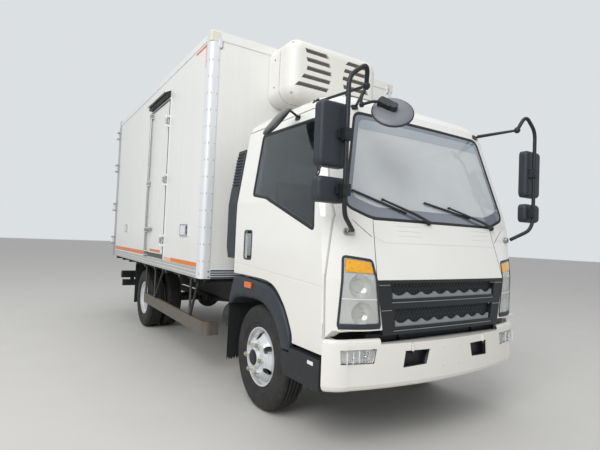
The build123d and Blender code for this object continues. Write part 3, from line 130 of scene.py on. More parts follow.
def gel_coat(name, shaded, lit):
    """Glass-fibre panel under gel coat: a soft sheen that waves a little. Its colour runs between a shaded and a
    lit tone, in broad patches and in streaks that run down: painted shade and light.
    """
    material, tree, place = started(name)
    run = add(tree, "ShaderNodeMapping", {"Vector": place, "Scale": (1.0, 1.0, 0.04)})
    streaks = add(tree, "ShaderNodeTexNoise", {"Vector": run, "Scale": per(45), "Detail": 4.0})
    cloud = add(tree, "ShaderNodeTexNoise", {"Vector": place, "Scale": per(700)})
    streaks = add(tree, "ShaderNodeMapRange",
                  {"Value": streaks, "From Min": 0.3, "From Max": 0.7, "To Min": -0.2, "To Max": 0.2})
    shade = add(tree, "ShaderNodeMath", {0: cloud, 1: streaks}, operation="ADD", use_clamp=True)
    wave = add(tree, "ShaderNodeTexNoise", {"Vector": place, "Scale": per(240), "Detail": 1.0})
    return finished(material, tree, {
        # Painted shade and light: the colour runs from the shaded tone to the lit one.
        "Base Color": add(tree, "ShaderNodeMix", {0: shade, 6: shaded, 7: lit}, out=2, data_type="RGBA"),
        "Roughness": 0.32, "IOR": 1.5, "Coat Weight": 0.15, "Coat Roughness": 0.2,
        "Normal": add(tree, "ShaderNodeBump", {"Height": wave, "Distance": 0.5 * MM})})


def moulded_plastic(name, dark, light, roughness, grain_mm=1.6, grain_depth=0.12):
    """Injection-moulded plastic: a pebbled skin that breaks up the light, faded in patches. Its grain is
    drawn coarser than the real 0.3 mm, so that it shows."""
    material, tree, place = started(name)
    pebbles = add(tree, "ShaderNodeTexVoronoi", {"Vector": place, "Scale": per(grain_mm)})
    fade = add(tree, "ShaderNodeTexNoise", {"Vector": place, "Scale": per(120), "Detail": 4.0})
    handled = add(tree, "ShaderNodeTexNoise", {"Vector": place, "Scale": per(60)})
    return finished(material, tree, {
        "Base Color": add(tree, "ShaderNodeMix", {0: fade, 6: dark, 7: light}, out=2, data_type="RGBA"),
        "Roughness": add(tree, "ShaderNodeMapRange",
                         {"Value": handled, "To Min": roughness - 0.08, "To Max": roughness + 0.1}),
        "IOR": 1.48,
        "Normal": add(tree, "ShaderNodeBump",
                      {"Height": pebbles, "Strength": 0.6, "Distance": grain_depth * MM})})


def extruded_aluminium(name, dull, bright, roughness, metallic=0.85):
    """Aluminium pushed through a die: fine draw lines run along the truck and spread its shine. They are
    drawn at 1.5 mm, coarser than real, so that they show."""
    material, tree, place = started(name)
    drawn = add(tree, "ShaderNodeMapping", {"Vector": place, "Scale": (0.02, 1.0, 1.0)})
    lines = add(tree, "ShaderNodeTexNoise", {"Vector": drawn, "Scale": per(1.5)})
    cloud = add(tree, "ShaderNodeTexNoise", {"Vector": place, "Scale": per(150), "Detail": 4.0})
    return finished(material, tree, {
        "Base Color": add(tree, "ShaderNodeMix", {0: cloud, 6: dull, 7: bright}, out=2, data_type="RGBA"),
        "Metallic": metallic,
        "Roughness": add(tree, "ShaderNodeMapRange",
                         {"Value": lines, "From Min": 0.3, "From Max": 0.7, "To Min": roughness - 0.06,
                          "To Max": roughness + 0.1}),
        "Normal": add(tree, "ShaderNodeBump", {"Height": lines, "Distance": 0.02 * MM})})


def brushed_stainless(name, dull, bright):
    """Stainless sheet brushed upward, so it shines in upright streaks."""
    material, tree, place = started(name)
    brushed = add(tree, "ShaderNodeMapping", {"Vector": place, "Scale": (1.0, 1.0, 0.03)})
    lines = add(tree, "ShaderNodeTexNoise", {"Vector": brushed, "Scale": per(1.2)})
    return finished(material, tree, {
        "Base Color": add(tree, "ShaderNodeMix", {0: lines, 6: dull, 7: bright}, out=2, data_type="RGBA"),
        "Metallic": 1.0,
        "Roughness": add(tree, "ShaderNodeMapRange",
                         {"Value": lines, "From Min": 0.3, "From Max": 0.7, "To Min": 0.22, "To Max": 0.4}),
        "Normal": add(tree, "ShaderNodeBump", {"Height": lines, "Distance": 0.02 * MM})})


def plated_metal(name, dull, bright, roughness, metallic=1.0):
    """Plated metal: a mirror, hazed here and there by handling. A lamp's bowl and reflector are near white with
    little metal in them: a painted reflection that keeps them bright.
    """
    material, tree, place = started(name)
    haze = add(tree, "ShaderNodeTexNoise", {"Vector": place, "Scale": per(25), "Detail": 4.0})
    return finished(material, tree, {
        "Base Color": add(tree, "ShaderNodeMix", {0: haze, 6: dull, 7: bright}, out=2, data_type="RGBA"),
        "Metallic": metallic,
        "Roughness": add(tree, "ShaderNodeMapRange",
                         {"Value": haze, "To Min": roughness, "To Max": roughness + 0.14})})


def chassis_paint(name, bare, dust, settled):
    """Chassis paint over hot-rolled steel: satin, with road dust settled in patches."""
    material, tree, place = started(name)
    grime = add(tree, "ShaderNodeTexNoise",
                {"Vector": place, "Scale": per(140), "Detail": 5.0, "Roughness": 0.6})
    patches = add(tree, "ShaderNodeMapRange",
                  {"Value": grime, "From Min": 0.4, "From Max": 0.75, "To Max": settled})
    scale = add(tree, "ShaderNodeTexNoise", {"Vector": place, "Scale": per(5), "Detail": 4.0})
    return finished(material, tree, {
        "Base Color": add(tree, "ShaderNodeMix", {0: patches, 6: bare, 7: dust}, out=2, data_type="RGBA"),
        "Roughness": add(tree, "ShaderNodeMapRange", {"Value": patches, "To Min": 0.42, "To Max": 0.9}),
        "Normal": add(tree, "ShaderNodeBump", {"Height": scale, "Distance": 0.15 * MM})})


def cast_iron(name, dark, light):
    """Sand-cast iron under grey paint: coarse and dull."""
    material, tree, place = started(name)
    cloud = add(tree, "ShaderNodeTexNoise", {"Vector": place, "Scale": per(70), "Detail": 5.0})
    sand = add(tree, "ShaderNodeTexNoise", {"Vector": place, "Scale": per(3), "Detail": 5.0})
    return finished(material, tree, {
        "Base Color": add(tree, "ShaderNodeMix", {0: cloud, 6: dark, 7: light}, out=2, data_type="RGBA"),
        "Roughness": 0.7,
        "Normal": add(tree, "ShaderNodeBump", {"Height": sand, "Distance": 0.4 * MM})})


def tyre_rubber(name, clean, dusty):
    """Vulcanised rubber: near black and matt, greyed by road dust."""
    material, tree, place = started(name)
    grime = add(tree, "ShaderNodeTexNoise",
                {"Vector": place, "Scale": per(60), "Detail": 5.0, "Roughness": 0.6})
    dust = add(tree, "ShaderNodeMapRange", {"Value": grime, "From Min": 0.4, "From Max": 0.8, "To Max": 0.6})
    skin = add(tree, "ShaderNodeTexNoise", {"Vector": place, "Scale": per(2.5), "Detail": 4.0})
    return finished(material, tree, {
        "Base Color": add(tree, "ShaderNodeMix", {0: dust, 6: clean, 7: dusty}, out=2, data_type="RGBA"),
        "Roughness": add(tree, "ShaderNodeMapRange", {"Value": grime, "To Min": 0.55, "To Max": 0.95}),
        "IOR": 1.52,
        "Normal": add(tree, "ShaderNodeBump", {"Height": skin, "Distance": 0.12 * MM})})


def sealing_rubber(name, dark, light, roughness):
    """Extruded sealing rubber: a dull, even sheen, paler where it has dried."""
    material, tree, place = started(name)
    dried = add(tree, "ShaderNodeTexNoise", {"Vector": place, "Scale": per(40), "Detail": 4.0})
    return finished(material, tree, {
        "Base Color": add(tree, "ShaderNodeMix", {0: dried, 6: dark, 7: light}, out=2, data_type="RGBA"),
        "Roughness": add(tree, "ShaderNodeMapRange",
                         {"Value": dried, "To Min": roughness - 0.1, "To Max": roughness + 0.12}),
        "IOR": 1.5})


def wheel_enamel(name, clean, dusty):
    """Pressed steel wheel under silver-white enamel, with brake dust in its hollows."""
    material, tree, place = started(name)
    grime = add(tree, "ShaderNodeTexNoise",
                {"Vector": place, "Scale": per(35), "Detail": 5.0, "Roughness": 0.6})
    dust = add(tree, "ShaderNodeMapRange", {"Value": grime, "From Min": 0.5, "From Max": 0.8, "To Max": 0.35})
    peel = add(tree, "ShaderNodeTexNoise", {"Vector": place, "Scale": per(4)})
    return finished(material, tree, {
        "Base Color": add(tree, "ShaderNodeMix", {0: dust, 6: clean, 7: dusty}, out=2, data_type="RGBA"),
        "Metallic": 0.25, "Roughness": 0.3, "Coat Weight": 0.4, "Coat Roughness": 0.1,
        "Normal": add(tree, "ShaderNodeBump", {"Height": peel, "Distance": 0.05 * MM})})


def toughened_glass(name, clear, smeared, see_through):
    """Tinted glass, smeared where the cloth missed it. The windscreen lets less through: its pale grey colour is
    a painted reflection of the sky."""
    material, tree, place = started(name)
    smear = add(tree, "ShaderNodeTexNoise", {"Vector": place, "Scale": per(220), "Detail": 4.0})
    return finished(material, tree, {
        "Base Color": add(tree, "ShaderNodeMix", {0: smear, 6: clear, 7: smeared}, out=2, data_type="RGBA"),
        "Roughness": 0.0, "IOR": 1.52, "Transmission Weight": see_through})


def lamp_cover(name, clear, hazed, flute_mm):
    """Clear moulded lamp cover, hazed by the sun and fluted on its back to spread the light."""
    material, tree, place = started(name)
    haze = add(tree, "ShaderNodeTexNoise", {"Vector": place, "Scale": per(50), "Detail": 4.0})
    flutes = add(tree, "ShaderNodeTexWave", {"Vector": place, "Scale": per(flute_mm) / (2 * math.pi)}, out=1,
                 bands_direction="Y")
    return finished(material, tree, {
        "Base Color": add(tree, "ShaderNodeMix", {0: haze, 6: clear, 7: hazed}, out=2, data_type="RGBA"),
        "Roughness": 0.02, "IOR": 1.45, "Transmission Weight": 1.0,
        "Normal": add(tree, "ShaderNodeBump", {"Height": flutes, "Strength": 0.5, "Distance": 0.4 * MM})})


def coloured_lens(name, deep, bright):
    """Moulded acrylic lens in one colour, with a grid of small prisms that glitters."""
    material, tree, place = started(name)
    prisms = add(tree, "ShaderNodeTexVoronoi", {"Vector": place, "Scale": per(9)})
    return finished(material, tree, {
        "Base Color": add(tree, "ShaderNodeMix", {0: prisms, 6: bright, 7: deep}, out=2, data_type="RGBA"),
        "Roughness": 0.12, "IOR": 1.49, "Coat Weight": 0.8, "Coat Roughness": 0.03,
        "Normal": add(tree, "ShaderNodeBump", {"Height": prisms, "Strength": 0.8, "Distance": 1.2 * MM})})


def reflective_tape(name, deep, bright):
    """Prismatic tape: 6 mm cells that shine under a clear face, faded in patches."""
    material, tree, place = started(name)
    walls = add(tree, "ShaderNodeTexVoronoi", {"Vector": place, "Scale": per(6)}, feature="DISTANCE_TO_EDGE")
    cells = add(tree, "ShaderNodeMapRange", {"Value": walls, "From Max": 0.2, "To Min": 0.3})
    fade = add(tree, "ShaderNodeTexNoise", {"Vector": place, "Scale": per(150), "Detail": 4.0})
    fade = add(tree, "ShaderNodeMapRange", {"Value": fade, "To Min": 0.6, "To Max": 1.3})
    shine = add(tree, "ShaderNodeMath", {0: cells, 1: fade}, operation="MULTIPLY", use_clamp=True)
    return finished(material, tree, {
        "Base Color": add(tree, "ShaderNodeMix", {0: shine, 6: deep, 7: bright}, out=2, data_type="RGBA"),
        "Roughness": 0.35, "Coat Weight": 0.25, "Coat Roughness": 0.08})


def fired_border(name, dark, light):
    """Ceramic paint fired into the glass, glossy. Its grey-blue colour is a painted reflection of the sky."""
    material, tree, place = started(name)
    cloud = add(tree, "ShaderNodeTexNoise", {"Vector": place, "Scale": per(90)})
    return finished(material, tree, {
        "Base Color": add(tree, "ShaderNodeMix", {0: cloud, 6: dark, 7: light}, out=2, data_type="RGBA"),
        "Roughness": 0.12, "IOR": 1.52, "Coat Weight": 1.0, "Coat Roughness": 0.02})


def seat_cloth(name, warp, weft):
    """Woven seat cloth: dull, with a soft sheen at its edges. Its threads are drawn at 3 mm, coarser
    than real, so that they show."""
    material, tree, place = started(name)
    threads = add(tree, "ShaderNodeTexChecker", {"Vector": place, "Scale": per(3)}, out=1)
    worn = add(tree, "ShaderNodeTexNoise", {"Vector": place, "Scale": per(20), "Detail": 4.0})
    mixed = add(tree, "ShaderNodeMath", {0: threads, 1: worn}, operation="MULTIPLY")
    return finished(material, tree, {
        "Base Color": add(tree, "ShaderNodeMix", {0: mixed, 6: warp, 7: weft}, out=2, data_type="RGBA"),
        "Roughness": 0.9, "Sheen Weight": 0.4, "Sheen Roughness": 0.5,
        "Normal": add(tree, "ShaderNodeBump", {"Height": threads, "Distance": 0.4 * MM})})


# Finishes: what each is made of, and the record's slot that it stands for.
finishes = {
    "cab": (baked_enamel("baked_white_enamel", "#EFEEEA", "#E6E3DC"), "cab_paint"),
    # The panel's two tones are a shaded and a lit copy of its white: painted shade and light.
    "panel": (gel_coat("white_gel_coat", "#E6E6E2", "#EFEFEC"), "box_skin"),
    "cap": (moulded_plastic("cream_moulded_cap", "#D9D6C8", "#E3E1D6", 0.4), "unit_plastic"),
    "unit": (moulded_plastic("white_moulded_housing", "#E2E1DA", "#EAE9E4", 0.34, 2.4, 0.08), "unit_plastic"),
    "slot": (moulded_plastic("brown_grey_plastic", "#8F897F", "#A8A197", 0.5), "unit_plastic"),
    "dark": (moulded_plastic("grained_dark_plastic", "#23272D", "#343A42", 0.5), "black_plastic"),
    "black": (moulded_plastic("black_moulded_plastic", "#15171A", "#22262B", 0.45), "black_plastic"),
    "gloss": (moulded_plastic("gloss_black_plastic", "#101214", "#1A1D20", 0.16, 3.0, 0.01), "black_plastic"),
    "strip": (moulded_plastic("grey_moulded_plastic", "#7E8285", "#96999C", 0.42), "strip_plastic"),
    "shell": (moulded_plastic("slate_grey_plastic", "#6B6E73", "#7D8085", 0.42), "black_plastic"),
    "inside": (moulded_plastic("grey_cabin_plastic", "#4B4E52", "#5C6064", 0.6), "black_plastic"),
    "aluminium": (extruded_aluminium("extruded_aluminium", "#B4B7BA", "#D0D3D6", 0.34), "aluminium"),
    "skirt": (extruded_aluminium("weathered_aluminium", "#BCBCB7", "#CBCBC6", 0.42, 0.4), "aluminium"),
    # The ribs' dark grey is painted shade and dark reflection on the front skirt's aluminium.
    "ribs": (extruded_aluminium("painted_shade_aluminium", "#585D69", "#6A6F7B", 0.4, 0.4), "aluminium"),
    "rail": (extruded_aluminium("white_anodised_aluminium", "#DFE2E5", "#ECEEF0", 0.46, 0.2), "aluminium"),
    "stainless": (brushed_stainless("brushed_stainless", "#A6A7A7", "#C6C7C7"), "stainless"),
    "chrome": (plated_metal("chrome_plate", "#C9CDD0", "#DADDE0", 0.08), "stainless"),
    "zinc": (plated_metal("zinc_plate", "#A5A7A5", "#BDBFBD", 0.3), "stainless"),
    "brass": (plated_metal("dull_brass_plate", "#C2BAA6", "#D6CFBE", 0.3), "stainless"),
    # The bowl and reflector finishes are near white and mostly not metal: a painted reflection.
    "bowl": (plated_metal("metallised_bowl", "#F4F4F3", "#FBFBFA", 0.16, 0.3), "lamp_bowl"),
    "reflector": (plated_metal("metallised_reflector", "#F6F6F5", "#FCFCFB", 0.3, 0.25), "lamp_bowl"),
    "silver": (plated_metal("silvered_glass", "#B4BABF", "#C9CDD1", 0.02), "glass"),
    "frame": (chassis_paint("black_chassis_paint", "#1B1B1C", "#5A544C", 0.35), "frame_paint"),
    "guard": (chassis_paint("grey_coated_steel", "#5B564D", "#7F786D", 0.7), "steel_grey"),
    "tank": (chassis_paint("black_tank_paint", "#222426", "#55504A", 0.35), "steel_grey"),
    "iron": (cast_iron("painted_cast_iron", "#3A3836", "#57534E"), "cast_metal"),
    "tyre": (tyre_rubber("tyre_rubber", "#1D1D1E", "#4A4642"), "tyre_rubber"),
    "rubber": (sealing_rubber("sealing_rubber", "#161718", "#26282A", 0.55), "black_plastic"),
    "grey_rubber": (sealing_rubber("grey_green_rubber", "#3C4642", "#4E5954", 0.5), "black_plastic"),
    "wheel": (wheel_enamel("silver_wheel_enamel", "#DADCDE", "#A39D94"), "wheel_paint"),
    "glass": (toughened_glass("toughened_glass", "#A9B6BE", "#98A4AC", 1.0), "glass"),
    # The windscreen's pale grey is a painted reflection of the sky. The tinted band is its own darker blue-grey
    # tint over the same painted reflection.
    "screen": (toughened_glass("laminated_windscreen", "#E9ECEE", "#DCE0E3", 0.3), "glass"),
    "shade": (toughened_glass("tinted_shade_band", "#C8D0D7", "#BDC6CE", 0.3), "glass"),
    "lens": (lamp_cover("clear_lamp_cover", "#FCFDFD", "#F3F4F2", 18.0), "lamp_lens"),
    "amber": (coloured_lens("amber_lens", "#DE8C00", "#FFC414"), "lamp_lens"),
    "orange": (coloured_lens("orange_lens", "#CC5200", "#F07C14"), "lamp_lens"),
    "red": (coloured_lens("red_lens", "#7A0A0C", "#B3171A"), "tail_lens"),
    "white_lens": (coloured_lens("white_lens", "#C8CCCF", "#EEF0F1"), "tail_lens"),
    "tape": (reflective_tape("orange_reflective_tape", "#D4690A", "#EC8412"), "box_skin"),
    "pale_orange": (reflective_tape("faded_orange_tape", "#E9A877", "#F3BE93"), "box_skin"),
    "pale_tape": (reflective_tape("white_reflective_tape", "#D9DADA", "#EDEEEE"), "box_skin"),
    "red_tape": (reflective_tape("red_reflective_tape", "#D24F2C", "#EA6C44"), "box_skin"),
    # The border's grey-blue colour is a painted reflection of the sky.
    "border": (fired_border("fired_ceramic_border", "#737984", "#838994"), "glass"),
    "cloth": (seat_cloth("woven_seat_cloth", "#2A2B2E", "#5A5D62"), "seat_fabric"),
}
# Each CAD node takes its slot's finish, apart from the nodes that have their own.
slot_finish = {
    "frame_paint": "frame", "cast_metal": "iron", "steel_grey": "guard", "black_plastic": "dark",
    "lamp_lens": "lens", "lamp_bowl": "bowl", "tail_lens": "red", "cab_paint": "cab", "box_skin": "panel",
    "aluminium": "aluminium", "stainless": "stainless", "unit_plastic": "unit", "glass": "glass",
    "seat_fabric": "cloth", "wheel_paint": "wheel", "tyre_rubber": "tyre", "strip_plastic": "strip",
}
node_finish = {
    "grille": "black", "air_tank": "tank", "fuel_tank": "tank", "exhaust": "guard", "dashboard": "inside",
    "steering_wheel": "black", "steps": "black", "cab_glass": "screen", "box_edges": "rail",
    "tail_lamps": "black", "side_surround": "rail",
}
for part in frame["record"]["subparts"]:
    node = part["node"]
    shown = frame["nodes"][node]
    shown.data.materials.clear()
    shown.data.materials.append(finishes[node_finish.get(node, slot_finish[part["material_slot"]])][0])


# Shapes. How far a piece's foot is sunk into what carries it, in millimetres, how near two points of a form
# have to be to become one, in metres, and the least angle of an edge that is softened, in degrees.
SUNK = 0.5
WELD = 0.00001
SOFTENED_FROM = 40


def rounded(points, radius, steps=4, closed=True):
    """A run of points with its corners rounded to about this radius."""
    points = [Vector(p) for p in points]
    last = len(points) - 1
    made = []
    for i, corner in enumerate(points):
        if not closed and i in (0, last):
            made.append(corner.copy())
            continue
        to_before = points[i - 1] - corner
        to_after = points[(i + 1) % len(points)] - corner
        reach = min(radius, 0.48 * to_before.length, 0.48 * to_after.length)
        start = corner + to_before.normalized() * reach
        end = corner + to_after.normalized() * reach
        for step in range(steps + 1):
            t = step / steps
            made.append(start * (1 - t) ** 2 + corner * 2 * t * (1 - t) + end * t * t)
    return made


def filled_in(points, spacing, closed=True):
    """The same run of points with more of them along its long stretches."""
    made = []
    ends = points[1:] + points[:1] if closed else points[1:]
    for start, end in zip(points, ends):
        count = max(1, round((end - start).length / spacing))
        made += [start.lerp(end, step / count) for step in range(count)]
    return made if closed else made + [points[-1]]


def spaced(points, count):
    """A run of points shared out again at even distances."""
    lengths = [0.0]
    for a, b in zip(points, points[1:]):
        lengths.append(lengths[-1] + (b - a).length)
    made, i = [], 0
    for step in range(count):
        goal = lengths[-1] * step / (count - 1)
        while i < len(points) - 2 and lengths[i + 1] < goal:
            i += 1
        made.append(points[i].lerp(points[i + 1], (goal - lengths[i]) / (lengths[i + 1] - lengths[i])))
    return made


def four_corners(left, right, low, high):
    """The corners of an upright rectangle, from the lower left one round."""
    return [(left, low), (right, low), (right, high), (left, high)]


def around(first, second, angle):
    """The direction at this angle from a first one towards a second."""
    return first * math.cos(angle) + second * math.sin(angle)


def skin_of(*nodes):
    """The surface of one or more CAD nodes, for a ray to meet."""
    corners, faces = [], []
    for node in nodes:
        mesh = frame["nodes"][node].data
        first = len(corners)
        corners += [v.co.copy() for v in mesh.vertices]
        faces += [[first + i for i in p.vertices] for p in mesh.polygons]
    return BVHTree.FromPolygons(corners, faces)


def met(skin, start, towards):
    """Where a ray meets a skin and how the skin faces there, or the nearest place if it misses."""
    place, normal, _, _ = skin.ray_cast(start, towards)
    if place is None:
        place, normal, _, _ = skin.find_nearest(start + towards * 1.2)
    return place, normal if normal.dot(towards) < 0 else -normal


def on_side(skin, side, station, height):
    """The place and facing of a skin seen square from one side of the truck."""
    return met(skin, at(station, OUTSIDE, height, side), Vector((0, -side, 0)))


def on_front(skin, across, height):
    """The place and facing of a skin seen square from ahead."""
    return met(skin, at(OUTSIDE, across, height), -AHEAD)


def on_skin(skin, side, spot):
    """The same for a spot (station, height) of a side, or (across, height) of the front where side is 0."""
    return on_side(skin, side, *spot) if side else on_front(skin, *spot)


def wall(rings, width, closed=False):
    """The faces between rings that follow one another, each with this many points."""
    faces = []
    for i in range(rings if closed else rings - 1):
        here, there = i * width, (i + 1) % rings * width
        pairs = [(j, (j + 1) % width) for j in range(width)]
        faces += [(here + j, here + k, there + k, there + j) for j, k in pairs]
    return faces


def both_ends(rings, width):
    """The faces that close the first ring and the last."""
    return [tuple(range(width))[::-1], tuple(range((rings - 1) * width, rings * width))]


def sheet_faces(columns, rows, first=0, turned_over=False):
    """The faces of a sheet of points, whose first point has this number."""
    width = columns + 1
    starts = [first + row * width + column for row in range(rows) for column in range(columns)]
    faces = [(a, a + 1, a + width + 1, a + width) for a in starts]
    return [face[::-1] for face in faces] if turned_over else faces


def rim_faces(columns, rows):
    """The faces that join two such sheets round their edges."""
    width, sheet = columns + 1, (columns + 1) * (rows + 1)
    edge = list(range(width)) + [row * width + columns for row in range(1, rows + 1)]
    edge += [rows * width + column for column in range(columns - 1, -1, -1)]
    edge += [row * width for row in range(rows - 1, 0, -1)]
    return [(a, a + sheet, b + sheet, b) for a, b in zip(edge, edge[1:] + edge[:1])]


def swept(path, facings, section, closed=False, widths=None):
    """A section of (across, outward) millimetres carried along a path of points and facings. Where widths
    are given, each point's own one multiplies the section's."""
    corners = []
    count = len(path)
    for i, point in enumerate(path):
        ahead = path[(i + 1) % count] if closed or i + 1 < count else point
        behind = path[i - 1] if closed or i else point
        along = (ahead - behind).normalized()
        out = (facings[i] - along * facings[i].dot(along)).normalized()
        across = along.cross(out) * (widths[i] if widths else 1)
        corners += [point + (across * u + out * v) * MM for u, v in section]
    ends = [] if closed else both_ends(count, len(section))
    return corners, wall(count, len(section), closed) + ends


def band(width, rise):
    """A low crowned section: a strip this wide that stands this high."""
    half, lip, crown = width / 2, rise * 0.35, width / 2 * 0.6
    return [(-half, -SUNK), (-half, lip), (-crown, rise), (crown, rise), (half, lip), (half, -SUNK)]


def tube(points, radius, bend=40.0, sides=10, ends=True):
    """A round tube along points in metres, its corners bent to a radius; both radii in millimetres."""
    path = rounded(points, bend * MM, 5, closed=False)
    corners = []
    out = None
    for i, point in enumerate(path):
        along = (path[min(i + 1, len(path) - 1)] - path[max(i - 1, 0)]).normalized()
        if out is None:
            out = along.orthogonal().normalized()
        out = (out - along * out.dot(along)).normalized()
        turns = [2 * math.pi * step / sides for step in range(sides)]
        corners += [point + around(out, along.cross(out), turn) * radius * MM for turn in turns]
    return corners, wall(len(path), sides) + (both_ends(len(path), sides) if ends else [])


def turned(profile, centre, axis, sides=32):
    """A closed profile of (along, radius) millimetres turned about an axis through a centre."""
    axis = Vector(axis).normalized()
    out = axis.orthogonal().normalized()
    corners = []
    for step in range(sides):
        away = around(out, axis.cross(out), 2 * math.pi * step / sides)
        corners += [centre + (axis * a + away * r) * MM for a, r in profile]
    radii = [r for _, r in profile] * sides
    faces = wall(sides, len(profile), closed=True)
    return corners, [face for face in faces if radii[face[0]] > 0 or radii[face[1]] > 0]


def slab(low, high):
    """A block between two corners in metres, for brackets and plates whose edges are then softened."""
    xs, ys, zs = zip(low, high)
    corners = [Vector((x, y, z)) for x in xs for y in ys for z in zs]
    return corners, [(0, 1, 3, 2), (4, 6, 7, 5), (0, 4, 5, 1), (2, 3, 7, 6), (0, 2, 6, 4), (1, 5, 7, 3)]


def block(low, high, side=1):
    """A block between two corners in millimetres, on the left side or the one given."""
    return slab(at(*low, side), at(*high, side))


def plate(centre, facing, up, width, height, thickness, corner):
    """A rounded plate that stands on a surface at a point. Its sizes are in millimetres."""
    facing = Vector(facing).normalized()
    up = (Vector(up) - facing * Vector(up).dot(facing)).normalized()
    right = up.cross(facing)
    outline = rounded(four_corners(-width / 2, width / 2, -height / 2, height / 2), corner, 3)
    ring = [centre + (right * p.x + up * p.y) * MM for p in outline]
    corners = [p - facing * SUNK * MM for p in ring] + [p + facing * thickness * MM for p in ring]
    return corners, both_ends(2, len(ring)) + wall(2, len(ring))


def rivet(centre, facing, radius, rise):
    """A small domed head on a surface."""
    dome = [(-SUNK, 0), (-SUNK, radius), (rise * 0.5, radius * 0.9), (rise, radius * 0.45), (rise, 0)]
    return turned(dome, centre, facing, 8)


def bolt(centre, facing, radius, rise=None):
    """A six-sided head on its washer."""
    rise = rise or radius * 0.9
    washer, rim = rise * 0.25, radius * 1.5
    head = [(-SUNK, 0), (-SUNK, rim), (washer, rim), (washer, radius), (rise, radius), (rise, 0)]
    return turned(head, centre, facing, 6)


def bolt_grid(centre, facing, first, second, size):
    """Bolts at each pair of a first and a second shift, in millimetres, from a centre."""
    return [bolt(centre + (a + b) * MM, facing, *size) for a in first for b in second]


def patch(skin, corners, columns, rows, offset, side=0):
    """A sheet of points on the front or side skin, over four corners of (first, height) millimetres, moved
    out from the skin by offset(u, v) millimetres."""
    low_left, low_right, high_right, high_left = (Vector(c) for c in corners)
    points = []
    for row in range(rows + 1):
        v = row / rows
        for column in range(columns + 1):
            u = column / columns
            spot = low_left.lerp(low_right, u).lerp(high_left.lerp(high_right, u), v)
            place, facing = on_skin(skin, side, spot)
            points.append(place + facing * offset(u, v) * MM)
    return points, sheet_faces(columns, rows)


def mirrored(forms):
    """The same forms on the truck's other side."""
    return [([Vector((c.x, -c.y, c.z)) for c in corners], faces) for corners, faces in forms]


def to_side(side, outline):
    """An outline of (across, height) on one side of the truck."""
    return [(side * y, z) for y, z in outline]


def piece(name, forms, finish, body, bevel=0.0, smooth=38, thick=0.0, rounder=0, segments=2):
    """One object made of closed forms or sheets, with its finish, riding on a body."""
    shape = bmesh.new()
    for corners, faces in forms:
        made = [shape.verts.new(c) for c in corners]
        for face in faces:
            shape.faces.new([made[i] for i in face])
    bmesh.ops.remove_doubles(shape, verts=shape.verts, dist=WELD)
    bmesh.ops.dissolve_degenerate(shape, edges=shape.edges, dist=WELD)
    bmesh.ops.recalc_face_normals(shape, faces=shape.faces)
    mesh = bpy.data.meshes.new(name)
    shape.to_mesh(mesh)
    shape.free()
    material, slot = finishes[finish]
    mesh.materials.append(material)
    made = bpy.data.objects.new(name, mesh)
    bpy.context.scene.collection.objects.link(made)
    mesh.polygons.foreach_set("use_smooth", [True] * len(mesh.polygons))
    mesh.set_sharp_from_angle(angle=math.radians(smooth))
    if thick:
        sheet = made.modifiers.new("thickness", "SOLIDIFY")
        sheet.thickness = thick * MM
        sheet.offset = 0
    if bevel:
        edge = made.modifiers.new("soft_edges", "BEVEL")
        edge.width = bevel * MM
        edge.segments = segments
        edge.angle_limit = math.radians(SOFTENED_FROM)
        edge.harden_normals = True
    if rounder:
        made.modifiers.new("rounder", "SUBSURF").levels = rounder
        made.modifiers["rounder"].render_levels = rounder
    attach(made, body)
    return made


# Camera: where the photograph was taken from, with its heading, upward pitch and roll in degrees.
CAMERA_PLACE = Vector((4.855, -2.462, 1.286))
CAMERA_HEADING = 147.38
CAMERA_PITCH = 1.9
CAMERA_ROLL = 2.4
FOCAL_PIXELS = 439.0
IMAGE_WIDTH, IMAGE_HEIGHT = 600, 450
SENSOR_MM = 36.0


def camera_axes():
    """The camera's right, up and view directions."""
    heading, pitch, roll = (math.radians(a) for a in (CAMERA_HEADING, CAMERA_PITCH, CAMERA_ROLL))
    view = Vector((math.cos(pitch) * math.cos(heading), math.cos(pitch) * math.sin(heading), math.sin(pitch)))
    level_right = view.cross(UP).normalized()
    right = around(level_right, level_right.cross(view), roll)
    return right, right.cross(view), view


def set_camera():
    right, up, view = camera_axes()
    lens = bpy.data.cameras.new("photo_camera")
    lens.sensor_width = SENSOR_MM
    lens.lens = FOCAL_PIXELS / IMAGE_WIDTH * SENSOR_MM
    lens.clip_start = 0.05
    camera = bpy.data.objects.new("photo_camera", lens)
    turn = Matrix((right, up, -view)).transposed().to_4x4()
    camera.matrix_world = Matrix.Translation(CAMERA_PLACE) @ turn
    bpy.context.scene.collection.objects.link(camera)
    bpy.context.scene.camera = camera


def seen_at(column, row, skin):
    """The place on a skin that the photograph shows at a pixel, and the skin's facing there."""
    right, up, view = camera_axes()
    aim = view + (right * (column - IMAGE_WIDTH / 2) - up * (row - IMAGE_HEIGHT / 2)) / FOCAL_PIXELS
    return met(skin, CAMERA_PLACE, aim.normalized())


# Lines laid on the truck. A face that turns towards the ray by less than this cosine is the wall of a gap
# between panels, and the ray is sent again this many millimetres beside it.
LEAST_COSINE = 0.25
SIDESTEP = 7


def spot_on(skin, spot, away, side):
    """A place on a skin for one spot of an outline, met a little way off it, clear of the gap round a panel,
    and carried back along the skin."""
    sight = LEFT if side else AHEAD
    for shift in ((0, 0), (0, SIDESTEP), (0, -SIDESTEP), (SIDESTEP, 0), (-SIDESTEP, 0)):
        near = spot + away + Vector(shift)
        place, facing = on_skin(skin, side, near)
        if abs(facing.dot(sight)) > LEAST_COSINE:
            break
    off = spot - near
    back = Vector((off.x, 0, off.y)) if side else Vector((0, off.x, off.y))
    return place + (back - sight * (facing.dot(back) / facing.dot(sight))) * MM, facing


